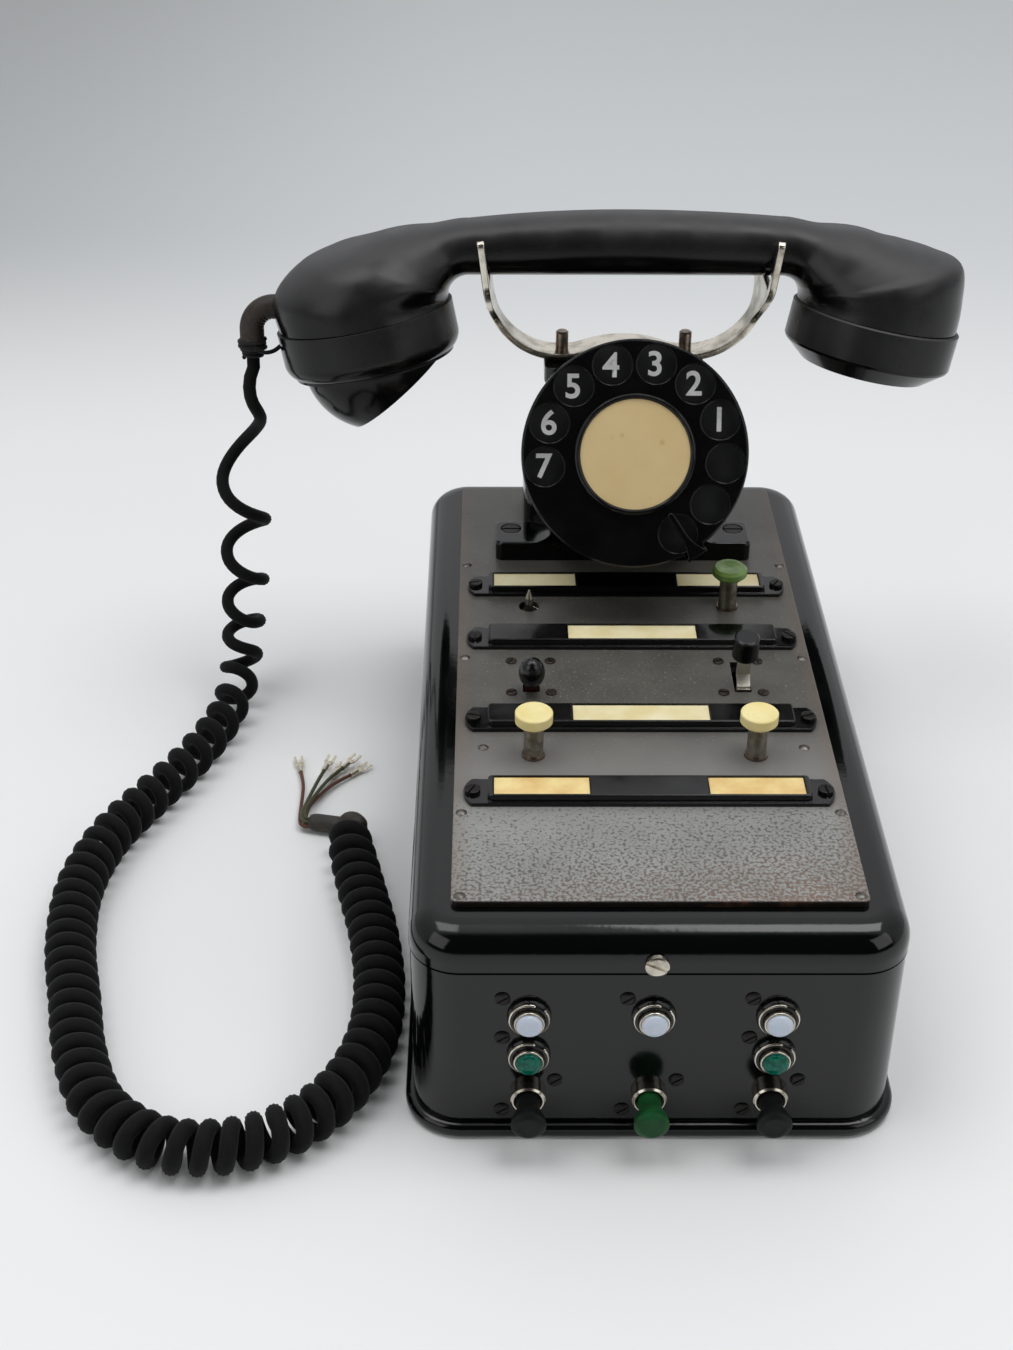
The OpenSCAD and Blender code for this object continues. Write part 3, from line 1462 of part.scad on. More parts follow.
module earpiece_cap() {
  r = ear_cup_r + ring_proud;
  bore = r - cup_ring_wall;
  color("#141414") at_handset() at_cup(1, ear_cup_r) difference() {
    rotate_extrude() polygon([
      [0, capsule_h + capsule_gap], [bore, capsule_h + capsule_gap], [bore, 0], [r - bevel, 0],
      [r, bevel], [r, ear_ring_h], [r - bevel, ear_ring_h + 2 * bevel],
      [ear_face_r + ear_face_edge, ear_face_z],
      [ear_face_r - ear_face_edge, ear_face_z], [ear_face_r / 2, ear_face_z - ear_dish],
      [0, ear_face_z - 1.2 * ear_dish]
    ]);
    for (k = [0 : 6]) rotate(60 * k) translate([k < 6 ? ear_hole_ring : 0, 0, capsule_h - ring_lip])
      cylinder(h = 2 * ear_face_z, r = ear_hole_r);
  }
}

// A flat capsule with a rounded edge in each cup
module capsule(r) {
  rotate_extrude() {
    square([r - capsule_edge, capsule_h]);
    square([r, capsule_h - capsule_edge]);
    translate([r - capsule_edge, capsule_h - capsule_edge]) quarter(capsule_edge);
  }
}

module voice_capsules() {
  wall = ring_proud - cup_ring_wall - capsule_gap;
  color("silver") at_handset() {
    at_cup(-1, mouth_cup_r) capsule(mouth_cup_r + wall);
    at_cup(1, ear_cup_r) capsule(ear_cup_r + wall);
  }
}

// Cord

// A point of the handset's frame in the part's frame
function from_handset(p) =
  [p.x + handset_x, cradle_y + p.y * cos(handset_roll) + p.z * sin(handset_roll),
    grip_z - p.y * sin(handset_roll) + p.z * cos(handset_roll)];

cord_start = from_handset(sleeve_end);
cord_start_dir = from_handset(sleeve_end + [0, 0, -1]) - cord_start;

module cord_sleeve() {
  color("#4a3f38") at_handset() {
    translate([sleeve_start + sleeve_in, 0, sleeve_z]) rotate([0, -90, 0])
      cylinder(h = sleeve_in + sleeve_run, r = sleeve_r);
    translate([sleeve_start - sleeve_run, 0, sleeve_z - sleeve_bend]) rotate([90, 0, 0])
      rotate(90) rotate_extrude(angle = 90) translate([sleeve_bend, 0]) circle(sleeve_r);
    translate(sleeve_end) cylinder(h = sleeve_drop, r = sleeve_r);
  }
}

cord_rows = concat(
  [[each (cord_start + 1.2 * cord_d * cord_start_dir), 90, 0]], drop_rows,
  [for (p = floor_rows) [p[0], p[1], floor_z, max(p[2], curl_pitch), curl_r]], tail_rows,
  [[each (cord_end - 1.2 * cord_d * unit(cord_end_dir)), 14, 0]]);

// Centres of the cord's rings: straight at both ends, curled about the route between
function cord_centres() =
  let (
    count = (len(cord_rows) - 1) * row_steps,
    rows = [for (i = [0 : count]) curve_at(cord_rows, i / row_steps)],
    axis = [for (r = rows) xyz(r)],
    turns = [for (i = 0, s = 0; i <= count;
      s = i < count ? s + norm(axis[i + 1] - axis[i]) / rows[i][3] : s, i = i + 1) s],
    t = tangents_of(axis),
    u = carried(t, unit([0, 1, 0] - (t[0].y) * t[0])),
    places = [for (i = [0 : count]) [turns[i], i]],
    rings = floor(turns[count] * curl_rings),
    phase = 90 - 360 * turns[left_row * row_steps]
  )
  concat([cord_start],
    [for (k = [0 : rings]) let (
        turn = turns[count] * k / rings, at = lookup(turn, places),
        i = min(floor(at), count - 1), f = at - i, row = curve_at(cord_rows, at / row_steps),
        along = unit((1 - f) * t[i] + f * t[i + 1]), a = (1 - f) * u[i] + f * u[i + 1],
        side = unit(a - (a * along) * along), angle = phase + 360 * turn
      ) xyz(row) + max(row[4], 0) * (cos(angle) * side - sin(angle) * cross(along, side))],
    [cord_end]);

// Least gap between neighbouring curls, measured between ring centres
function cord_gap(c) =
  min([for (i = [0 : len(c) - 2 * curl_rings], j = [i + curl_rings - 2 : min(i + 2 * curl_rings, len(c) - 1)])
    norm(c[j] - c[i])]) - cord_d;

function length_of(c) = [for (i = 0, s = 0; i < len(c);
  s = i < len(c) - 1 ? s + norm(c[i + 1] - c[i]) : s, i = i + 1) s][len(c) - 1];

module handset_cord() {
  centres = cord_centres();
  echo("cord rings", len(centres), "length", length_of(centres));
  echo("least gap between curls", cord_gap(centres));
  color("#121212") tube(centres, cord_d / 2, cord_sides);
}

module along(dir) {
  rotate([0, acos(unit(dir).z), atan2(dir.y, dir.x)]) children();
}

module cord_end_sleeve() {
  color("#57524c") translate(cord_end) along(cord_end_dir) cylinder(h = end_sleeve_l, r = end_sleeve_r);
}

sleeve_tip = cord_end + end_sleeve_l * unit(cord_end_dir);

// Wires leave the end sleeve side by side, turn and run back along the table to their fork lugs
module cord_wires() {
  side = unit([-cord_end_dir.y, cord_end_dir.x, 0]);
  for (k = [0 : len(wire_tips) - 1]) {
    spread = (k - 2) * wire_d * 0.75;
    start = sleeve_tip - spread * side + [0, 0, (k % 2) * wire_d - wire_d / 2];
    out = start + 1.5 * wire_d * unit(cord_end_dir);
    tip = wire_tips[k];
    rows = [start, out, out + [-1.5 + 0.6 * k, 4 + k, 0], (out + tip) / 2 + [0, 6, 0], tip];
    color(k % 2 == 0 ? "#5a3a2c" : "#4b4a35")
      tube([for (i = [0 : wire_rings]) curve_at(rows, i * (len(rows) - 1) / wire_rings)],
        wire_d / 2, cord_sides);
    color("silver") translate(tip) lug(tip - rows[3]);
  }
}

// A fork lug lying along its wire
module lug(dir) {
  rotate(atan2(dir.y, dir.x)) translate([0, 0, -lug_t / 2]) linear_extrude(lug_t) difference() {
    translate([0, -lug_w / 2]) square([lug_l, lug_w]);
    translate([lug_l - lug_fork_l, -lug_fork_w / 2]) square([2 * lug_fork_l, lug_fork_w]);
  }
}

base_plate();
base_screws();
lower_case();
top_cover();
cover_screws();
cable_bushes();
control_panel();
panel_rivets();
label_rail_rear();
label_rail_upper();
label_rail_lower();
label_rail_front();
label_cards();
panel_screws();
lever_key_frames();
push_key_guides();
lamp_bezels();
white_lenses();
green_lenses();
lamp_bulbs();
front_screws();
button_collars();
button_contacts();
left_button();
middle_button();
right_button();
bare_key_pin();
green_key_stem();
green_key_cap();
left_ivory_stem();
left_ivory_cap();
right_ivory_stem();
right_ivory_cap();
left_lever();
left_lever_knob();
right_lever();
right_lever_knob();
terminal_strip();
dial_pedestal();
pedestal_screws();
hook_guide();
hook_contacts();
dial_can();
number_plate();
finger_stop();
dial_spindle();
finger_wheel();
dial_disc();
disc_ring();
cradle_strip();
cradle_posts();
handset_handle();
mouthpiece_ring();
mouthpiece_horn();
earpiece_cap();
voice_capsules();
cord_sleeve();
handset_cord();
cord_end_sleeve();
cord_wires();
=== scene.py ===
# %% [markdown]
# Switchboard telephone
#
# An old desk telephone for a small office: a black steel case with a control panel of keys and label
# rails, lamps and buttons on its front, a dial on a pedestal, and a handset in a sprung cradle. The
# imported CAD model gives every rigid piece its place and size. This lesson dresses it: finishes for the
# CAD pieces, smoother shapes where the solids are faceted, and the soft pieces that only Blender can
# make.

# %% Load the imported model
import math

import bmesh
import bpy
import numpy as np
from mathutils import Matrix, Vector


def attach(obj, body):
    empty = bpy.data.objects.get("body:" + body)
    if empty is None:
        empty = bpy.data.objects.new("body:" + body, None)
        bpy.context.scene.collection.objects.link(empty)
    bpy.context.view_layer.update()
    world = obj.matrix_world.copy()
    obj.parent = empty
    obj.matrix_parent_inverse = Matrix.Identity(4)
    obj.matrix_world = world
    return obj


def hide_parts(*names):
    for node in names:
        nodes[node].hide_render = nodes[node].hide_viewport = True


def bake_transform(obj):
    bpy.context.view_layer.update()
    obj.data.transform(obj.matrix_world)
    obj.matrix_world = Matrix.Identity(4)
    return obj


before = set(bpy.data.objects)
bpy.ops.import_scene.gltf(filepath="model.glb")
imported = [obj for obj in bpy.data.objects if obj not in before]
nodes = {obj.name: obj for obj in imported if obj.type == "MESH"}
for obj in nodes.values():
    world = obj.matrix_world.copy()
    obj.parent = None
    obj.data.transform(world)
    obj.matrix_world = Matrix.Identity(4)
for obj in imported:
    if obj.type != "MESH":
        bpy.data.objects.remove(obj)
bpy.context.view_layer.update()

MM = 0.001

# %% [markdown]
# The camera
#
# The picture was taken from above the dial and a little to its left. The camera's place, tilt and lens
# were worked out from the straight edges of the case and the panel, so the view needs no shift and no
# cropping.

# %% Camera
CAMERA_PLACE = Vector((-46.2, -520.4, 414.4)) * MM
CAMERA_PITCH, CAMERA_YAW, CAMERA_ROLL = 0.583, 0.009, 0.006
PICTURE_HEIGHT, FOCAL_PIXELS, SENSOR = 1350, 1910.3, 36.0


def placed(name, content):
    """A new object of the scene that holds a mesh, a camera, a lamp or lettering."""
    piece = bpy.data.objects.new(name, content)
    bpy.context.scene.collection.objects.link(piece)
    return piece


ahead = Vector((math.sin(CAMERA_YAW) * math.cos(CAMERA_PITCH),
                math.cos(CAMERA_YAW) * math.cos(CAMERA_PITCH), -math.sin(CAMERA_PITCH)))
level = Vector((math.cos(CAMERA_YAW), -math.sin(CAMERA_YAW), 0))
upward = level.cross(ahead)
right = level * math.cos(CAMERA_ROLL) + upward * math.sin(CAMERA_ROLL)
above = upward * math.cos(CAMERA_ROLL) - level * math.sin(CAMERA_ROLL)
camera = placed("camera", bpy.data.cameras.new("camera"))
camera.data.sensor_fit = "VERTICAL"
camera.data.sensor_height = SENSOR
camera.data.lens = SENSOR * FOCAL_PIXELS / PICTURE_HEIGHT
camera.data.clip_start = 0.01
camera.matrix_world = (Matrix.Translation(CAMERA_PLACE)
                       @ Matrix((right, above, -ahead)).transposed().to_4x4())
bpy.context.scene.camera = camera
bpy.context.scene.view_settings.view_transform = "Standard"
print("lens:", round(camera.data.lens, 2), "mm")

# %% [markdown]
# Skinning rings
#
# Cord, sleeves, wires and the handset's handle are all one idea: a row of closed rings with a skin
# between them. A curve object with a bevel could make the plain tubes, but ribs, wrinkles and changing
# sections need the rings themselves, so one helper takes rings and returns a smooth mesh.

# %% Helpers for rings and curves


def skin(name, rings, smooth=True):
    """One mesh from rings of equal count, closed at both ends."""
    count, last = len(rings[0]), len(rings) - 1
    faces = [(i + k, i + (k + 1) % count, i + count + (k + 1) % count, i + count + k)
             for i in range(0, last * count, count) for k in range(count)]
    faces += [tuple(range(count)), tuple(last * count + k for k in range(count))]
    mesh = bpy.data.meshes.new(name)
    mesh.from_pydata([tuple(p) for ring in rings for p in ring], [], faces)
    work = bmesh.new()
    work.from_mesh(mesh)
    bmesh.ops.recalc_face_normals(work, faces=work.faces)
    work.to_mesh(mesh)
    work.free()
    if smooth:
        mesh.shade_smooth()
    return placed(name, mesh)


def from_bmesh(name, work):
    """An object from a finished bmesh, which is freed."""
    mesh = bpy.data.meshes.new(name)
    work.to_mesh(mesh)
    work.free()
    return placed(name, mesh)


def circle(count):
    """Angles of that many equal steps round a circle."""
    return 2 * np.pi * np.arange(count) / count


def curve_at(rows, t):
    """A smooth curve through rows of numbers; t counts the rows."""
    last = len(rows) - 1
    i = min(int(t), last - 1)
    f = t - i
    a, b, c, d = (rows[j] for j in (max(i - 1, 0), i, i + 1, min(i + 2, last)))
    return 0.5 * (2 * b + (c - a) * f + (2 * a - 5 * b + 4 * c - d) * f ** 2
                  + (3 * b - a - 3 * c + d) * f ** 3)


def unit(v):
    return v / np.linalg.norm(v)


def tangents(points):
    """Direction of a line of points at each point."""
    ahead_by = np.vstack([points[1:], points[-1:]])
    behind_by = np.vstack([points[:1], points[:-1]])
    steps = ahead_by - behind_by
    return steps / np.linalg.norm(steps, axis=1)[:, None]


def carried(directions, first):
    """A crosswise direction carried along a line without twist."""
    across = [first]
    for direction in directions[1:]:
        across.append(unit(across[-1] - np.dot(across[-1], direction) * direction))
    return np.array(across)


def tube_rings(points, radii):
    """Rings round a line of points; radii is one row of radii per point, or one row for all."""
    along = tangents(points)
    seed = np.array([0, 0, 1.0]) if abs(along[0][2]) < 0.8 else np.array([1.0, 0, 0])
    u = carried(along, unit(seed - np.dot(seed, along[0]) * along[0]))
    v = np.cross(along, u)
    radii = np.broadcast_to(radii, (len(points), np.shape(radii)[-1]))
    turn = circle(radii.shape[1])[None, :, None]
    return points[:, None] + radii[:, :, None] * (np.cos(turn) * u[:, None] + np.sin(turn) * v[:, None])


print("helpers ready")

# %% [markdown]
# The curly cord
#
# The cord is 5.2 mm thick, wound into curls, and covered with black cotton. The photograph shows all of
# it, from the handset to its loose end on the table, so its length is the length of this route. Each row
# is a point of the curls' axis with the pitch and radius of the curls there. The places are those of the
# CAD part. The pitch is wider down to the left bend, where the photograph shows pulled-out curls that
# slowly close up.

# %% Route of the cord
CORD_D, CURL_R, CURL_PITCH, STRETCHED = 5.2, 5.6, 6.6, 0.1
FLOOR_Z = CURL_R + CORD_D / 2 + 0.2
CRADLE_Y, GRIP_Z, HANDSET_X, HANDSET_ROLL = 106.5, 178.4, -0.9, math.radians(10.5)
SLEEVE_END = (-129.0, 0.0, -37.4)


def from_handset(x, y, z):
    """A point of the handset's own frame, in mm of the part's frame."""
    c, s = math.cos(HANDSET_ROLL), math.sin(HANDSET_ROLL)
    return np.array([x + HANDSET_X, CRADLE_Y + y * c + z * s, GRIP_Z - y * s + z * c])


drop_rows = [(-135, 99, 122, 62, 6.4), (-137, 99, 106, 58, 7.4), (-137, 99, 91, 36, 7.3),
             (-137, 99, 75, 29, 7.3), (-138, 99, 60, 25, 7), (-139, 99, 47, 21, 6.8),
             (-140, 99, 37, 17, 6.4), (-141, 99, 28, 14, 6), (-142, 96, 18, 13, 5.8),
             (-143, 88, 11, 12.5, 5.7)]
floor_rows = [(-145, 75, 12), (-149, 57, 11.2), (-157, 36, 10), (-167, 16, 8.6), (-177, -6, 7.4),
              (-182, -32, 6.8), (-180, -60, 6.6), (-174, -86, 6.6), (-168, -110, 6.6), (-158, -131, 6.8),
              (-140, -144, 6.8), (-120, -145, 6.8), (-102, -137, 6.8), (-89, -122, 6.8), (-82, -102, 6.6),
              (-81, -80, 6.6), (-84, -56, 6.6), (-89, -34, 6.8), (-93, -16, 8.5)]
tail_rows = [(-95, -4, 7.6, 9, 4.6), (-95, 4, 5.4, 12, 2.4)]
CORD_END, CORD_END_DIR = np.array([-102, 8, 3.4]), unit(np.array([-0.98, 0.2, 0]))
ROW_STEPS, CURL_RINGS, LEFT_ROW, END_RUN = 10, 26, 3, 1.2 * CORD_D
START_PITCH, END_PITCH = 90, 14

cord_start = from_handset(*SLEEVE_END)
cord_start_dir = from_handset(SLEEVE_END[0], SLEEVE_END[1], SLEEVE_END[2] - 1) - cord_start
lying_rows = [(x, y, FLOOR_Z - STRETCHED * (pitch - CURL_PITCH), pitch,
               CURL_R - STRETCHED * (pitch - CURL_PITCH)) for x, y, pitch in floor_rows]
cord_rows = [np.array(row, float) for row in
             [(*(cord_start + END_RUN * cord_start_dir), START_PITCH, 0), *drop_rows, *lying_rows,
              *tail_rows, (*(CORD_END - END_RUN * CORD_END_DIR), END_PITCH, 0)]]


def curled(rows):
    """Centres of the cord: straight at both ends, curled about the route between."""
    count = (len(rows) - 1) * ROW_STEPS
    fine = np.array([curve_at(rows, i / ROW_STEPS) for i in range(count + 1)])
    axis = fine[:, :3]
    steps = np.linalg.norm(np.diff(axis, axis=0), axis=1) / fine[:-1, 3]
    turns = np.concatenate([[0], np.cumsum(steps)])
    along = tangents(axis)
    first = np.array([0, 1.0, 0]) - along[0][1] * along[0]
    across = carried(along, unit(first))
    phase = 90 - 360 * turns[LEFT_ROW * ROW_STEPS]
    centres = [cord_start]
    for turn in np.linspace(0, turns[-1], int(turns[-1] * CURL_RINGS) + 1):
        place = np.interp(turn, turns, np.arange(count + 1))
        i = min(int(place), count - 1)
        f = place - i
        row = curve_at(rows, place / ROW_STEPS)
        ahead_here = unit((1 - f) * along[i] + f * along[i + 1])
        side = (1 - f) * across[i] + f * across[i + 1]
        side = unit(side - np.dot(side, ahead_here) * ahead_here)
        angle = math.radians(phase + 360 * turn)
        centres.append(row[:3] + max(row[4], 0) * (math.cos(angle) * side
                                                   - math.sin(angle) * np.cross(ahead_here, side)))
    return np.array(centres + [CORD_END])


cord_line = curled(cord_rows)

# %% [markdown]
# The cotton cover is knitted in ribs that run along the cord, about 1.2 mm apart. They are real ridges
# here: every second point of each ring lies a little lower. A texture could draw them, but ridges also
# break up the outline of the curls and catch the light as the fabric does. Where the curls are pulled out
# the cover is drawn tight, so the cord is thinner there.

# %% Ribbed skin of the cord
RIBS, RIB_DEPTH, THIN, THIN_TO, BEND_Y = 13, 0.26, 0.88, 0.6, -30
rib_radii = np.array([CORD_D / 2 - RIB_DEPTH * (k % 2) for k in range(2 * RIBS)])
left_bend = int(np.argmax(cord_line[:, 1] < BEND_Y))
stretch = np.interp(np.arange(len(cord_line)), [0, THIN_TO * left_bend, left_bend], [THIN, THIN, 1])
cord = skin("curly_cord", tube_rings(cord_line, stretch[:, None] * rib_radii) * MM)
print("cord points:", len(cord.data.vertices))

# %% [markdown]
# The sleeve and its tie
#
# A brown rubber sleeve turns down out of the mouthpiece end and keeps the cord from kinking. Old rubber
# creases on the inside of a bend, so the rings there shrink in waves on the inner side. Its lower end is
# bound with a few turns of black thread that also hold the cord to the rim of the mouthpiece.

# %% Rubber sleeve
SLEEVE_R, SLEEVE_BEND, SLEEVE_Z = 4.25, 8.0, -22.4
SLEEVE_SIDES, SLEEVE_STEPS, SLEEVE_START = 32, 44, -118.0
CREASE, CREASE_RINGS, LIP = 0.16, 7.0, 0.25


def sleeve_line(steps):
    """The sleeve's middle line in the handset's frame: in at the cup, round a quarter turn, and down."""
    corner_x = SLEEVE_END[0] + SLEEVE_BEND
    points = [(SLEEVE_START, 0, SLEEVE_Z)]
    for k in range(steps + 1):
        a = math.pi / 2 * k / steps
        points.append((corner_x - SLEEVE_BEND * math.sin(a), 0, SLEEVE_Z - SLEEVE_BEND * (1 - math.cos(a))))
    points += [(SLEEVE_END[0], 0, SLEEVE_END[2] + drop) for drop in (5.0, 3.0, 1.6, 0.5, 0.0)]
    return np.array([from_handset(*p) for p in points])


sleeve_points = sleeve_line(SLEEVE_STEPS)
inner = np.clip(-np.cos(circle(SLEEVE_SIDES)), 0, 1)
sleeve_radii = []
for i in range(len(sleeve_points)):
    bent = math.sin(math.pi * min(max((i - 1) / SLEEVE_STEPS, 0), 1))
    crease = CREASE * bent * (0.5 + 0.5 * math.cos(2 * math.pi * i / CREASE_RINGS))
    sleeve_radii.append(SLEEVE_R * (1 - crease * inner))
sleeve_radii[-1] -= LIP
sleeve = skin("rubber_sleeve", tube_rings(sleeve_points, np.array(sleeve_radii)) * MM)
print("sleeve points:", len(sleeve.data.vertices))

# %% Thread that binds the sleeve's end
THREAD_R, THREAD_SIDES, BIND_TURNS, BIND_STEPS = 0.75, 8, 4.6, 24
BIND_TOP, BIND_FALL, BIND_OUT, BIND_WAVE, TAPER_AT, TAPER, CORD_GAP = 3.6, 6.4, 0.1, 0.2, 0.4, 1.5, 0.55
strand_places = [(-128.0, -4.9, -35.6), (-124.6, -4.6, -37.4), (-121.4, -3.2, -37.2), (-118.6, -1.5, -35.4)]
bind = []
for k in range(int(BIND_TURNS * BIND_STEPS)):
    a = 2 * math.pi * k / BIND_STEPS
    r = SLEEVE_R + BIND_OUT + BIND_WAVE * math.sin(0.7 * a)
    drop = BIND_TOP - BIND_FALL * k / (BIND_TURNS * BIND_STEPS)
    if drop < TAPER_AT:
        r = max(r - TAPER * (TAPER_AT - drop), CORD_D / 2 + CORD_GAP)
    bind.append(from_handset(SLEEVE_END[0] + r * math.cos(a), r * math.sin(a), SLEEVE_END[2] + drop))
strand_rows = [from_handset(*p) for p in strand_places]
strand_line = [curve_at(strand_rows, t) for t in np.linspace(0, len(strand_rows) - 1, BIND_STEPS + 1)]
thread, strand = (skin(name, tube_rings(np.array(line), np.full(THREAD_SIDES, THREAD_R)) * MM)
                  for name, line in (("sleeve_binding", bind), ("tie_strand", strand_line)))
print("binding points:", len(thread.data.vertices), "strand points:", len(strand.data.vertices))

# %% [markdown]
# The loose end
#
# The cord ends in a short grey sleeve and five thin braided wires with pale fork lugs, spread on the
# table. The wires run as the CAD wires do, with more rings and with tips a few millimetres from theirs.
# The lugs are stamped from thin tinned sheet: a flat fork, and a barrel that is rolled round the end of
# its wire.

# %% End sleeve and wires
WIRE_D, WIRE_SIDES, WIRE_RINGS = 1.3, 10, 60
END_SLEEVE_L, END_SLEEVE_R, END_COVERS, END_RINGS, END_SIDES, MOUTH_LIP = 8.0, 3.1, 18.0, 18, 20, 0.3
WIRE_SPREAD, WIRE_OUT, WIRE_BOW = 0.75, 1.5, 6
tip_rounding = np.array([0.02, 0.06, 0.13, 0.25, 0.45, 0.75])
wire_tips = [(-116, 42, 1.6), (-107, 41, 3), (-104, 39, 1.6), (-100, 42, 3.4), (-97, 40, 1.6)]
from_end = np.cumsum(np.linalg.norm(np.diff(cord_line[::-1], axis=0), axis=1))
covered = cord_line[:-1][from_end[::-1] < END_COVERS]
end_points = np.vstack([covered, [CORD_END + s * CORD_END_DIR
                                  for s in np.linspace(0.2, END_SLEEVE_L, END_RINGS)]])
end_radii = np.full((len(end_points), END_SIDES), END_SLEEVE_R)
end_radii[0] -= MOUTH_LIP
end_radii[-len(tip_rounding):] -= tip_rounding[:, None]
end_sleeve = skin("end_sleeve", tube_rings(end_points, end_radii) * MM)

sleeve_tip = CORD_END + END_SLEEVE_L * CORD_END_DIR
tip_side = np.array([-CORD_END_DIR[1], CORD_END_DIR[0], 0])
wires, lug_places = [], []
for k, tip in enumerate(wire_tips):
    tip = np.array(tip, float)
    start = (sleeve_tip - (k - 2) * WIRE_D * WIRE_SPREAD * tip_side
             + np.array([0, 0, (k % 2) * WIRE_D - WIRE_D / 2]))
    out = start + WIRE_OUT * WIRE_D * CORD_END_DIR
    rows = [start - CORD_END_DIR, out, out + np.array([-1.5 + 0.6 * k, 4 + k, 0]),
            (out + tip) / 2 + np.array([0, WIRE_BOW, 0]), tip]
    line = np.array([curve_at(rows, t) for t in np.linspace(0, len(rows) - 1, WIRE_RINGS)])
    wires.append(skin(f"wire_{k + 1}", tube_rings(line, np.full(WIRE_SIDES, WIRE_D / 2)) * MM))
    lug_places.append((tip, tip - rows[3]))
print("wires:", len(wires))

# %% Fork lugs
LUG_L, LUG_W, LUG_T, FORK_L, FORK_W = 9.0, 3.4, 0.5, 4.5, 1.6
BARREL_L, BARREL_R, BARREL_TIP_R, BARREL_X = 3.6, 1.0, 0.95, 0.8


def fork_lug(name, tip, direction):
    """A flat fork with rounded tines and a rolled barrel at its wire's end."""
    h, f = LUG_W / 2, FORK_W / 2
    tine = (h - f) / 2
    outline = [(2.2, -0.7), (3.6, -h * 0.75), (LUG_L - FORK_L, -h)]
    outline += [(LUG_L - tine + tine * math.sin(a), -h + tine - tine * math.cos(a))
                for a in np.linspace(0, math.pi, 7)]
    half_outline = outline[::-1]
    outline += [(LUG_L - FORK_L + 0.4 + f - f * math.cos(b), f * math.sin(b))
                for b in np.linspace(-1.2, 1.2, 7)]
    outline += [(x, -y) for x, y in half_outline]
    work = bmesh.new()
    face = work.faces.new([work.verts.new((x, y, 0)) for x, y in outline])
    lifted = bmesh.ops.extrude_face_region(work, geom=[face])["geom"]
    bmesh.ops.translate(work, vec=(0, 0, LUG_T),
                        verts=[v for v in lifted if isinstance(v, bmesh.types.BMVert)])
    barrel = bmesh.ops.create_cone(work, cap_ends=True, segments=14, radius1=BARREL_R, radius2=BARREL_TIP_R,
                                   depth=BARREL_L)["verts"]
    bmesh.ops.rotate(work, cent=(0, 0, 0), matrix=Matrix.Rotation(math.pi / 2, 3, "Y"), verts=barrel)
    bmesh.ops.translate(work, vec=(BARREL_X, 0, LUG_T / 2), verts=barrel)
    bmesh.ops.recalc_face_normals(work, faces=work.faces)
    bmesh.ops.scale(work, vec=(MM, MM, MM), verts=work.verts)
    piece = from_bmesh(name, work)
    piece.matrix_world = (Matrix.Translation(Vector(tip - np.array([0, 0, LUG_T / 2])) * MM)
                          @ Matrix.Rotation(math.atan2(direction[1], direction[0]), 4, "Z"))
    return piece


lugs = [fork_lug(f"fork_lug_{k + 1}", tip, way) for k, (tip, way) in enumerate(lug_places)]
print("lugs:", len(lugs))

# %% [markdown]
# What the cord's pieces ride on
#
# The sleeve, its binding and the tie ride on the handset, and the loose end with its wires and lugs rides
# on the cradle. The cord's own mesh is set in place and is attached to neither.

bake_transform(cord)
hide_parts("handset_cord")
for piece in (sleeve, thread, strand):
    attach(piece, "handset")
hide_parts("cord_sleeve")
for piece in (end_sleeve, *wires, *lugs):
    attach(piece, "cradle")
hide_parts("cord_end_sleeve")
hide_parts("cord_wires")

# %% [markdown]
# The handset's handle
#
# The handle is one bakelite moulding: a grip of rounded section that sweeps round an elbow into a cup at
# each end. The CAD handle has few faces for collision, so this one skins much the same sections with many
# more rings.

# %% Handle
GRIP_H, GRIP_HALF_W, GRIP_FALL, EAR_FALL, ELBOW_X, ELBOW_R = 21.4, 12.5, 3.0, 2.2, 53.5, 7.0
CUP_ANGLE, MOUTH_R, EAR_R, SQUARENESS = 191.5, 30.0, 28.3, 2.5
GRIP_LOW = -GRIP_H / 2
ELBOW_Z = GRIP_LOW - ELBOW_R
ELBOW_END, EAR_ELBOW = ELBOW_R + GRIP_H - GRIP_FALL, ELBOW_R + GRIP_H - EAR_FALL
MOUTH_REACH, EAR_REACH = ELBOW_R + 2 * MOUTH_R, ELBOW_R + 2 * EAR_R
HANDLE_SIDES, FAN_RINGS, GRIP_RINGS = 72, 72, 40
mouth_fan = [(CUP_ANGLE, MOUTH_REACH, MOUTH_R, 2), (181, MOUTH_REACH + 0.2, MOUTH_R - 0.2, 2),
             (170, MOUTH_REACH - 8, MOUTH_R - 1.4, 2.1), (160, MOUTH_REACH - 18.5, MOUTH_R - 4, 2.2),
             (146, MOUTH_REACH - 30, MOUTH_R - 9.5, 2.3), (119, ELBOW_END + 1.5, GRIP_HALF_W + 1.8, 2.4),
             (90, ELBOW_END, GRIP_HALF_W, SQUARENESS)]
ear_fan = [(CUP_ANGLE, EAR_REACH - 0.3, EAR_R, 2), (181, EAR_REACH - 0.3, EAR_R - 0.2, 2),
           (170, EAR_REACH - 0.6, EAR_R - 0.8, 2.1), (164, EAR_REACH - 8, EAR_R - 3.2, 2.2),
           (156, EAR_REACH - 17.6, EAR_R - 6, 2.3), (146, EAR_REACH - 25.4, EAR_R - 8.6, 2.4),
           (119, EAR_ELBOW + 1.3, GRIP_HALF_W + 1.6, 2.4), (90, EAR_ELBOW, GRIP_HALF_W, SQUARENESS)]


def section(mid, way, half, half_w, power):
    """A closed section between an ellipse and a rounded box, in the part's frame."""
    ring = []
    for a in circle(HANDLE_SIDES):
        c, s = math.cos(a), math.sin(a)
        along = half * math.copysign(abs(c) ** (2 / power), c)
        side = half_w * math.copysign(abs(s) ** (2 / power), s)
        ring.append(from_handset(mid[0] + along * way[0], side, mid[2] + along * way[2]))
    return ring


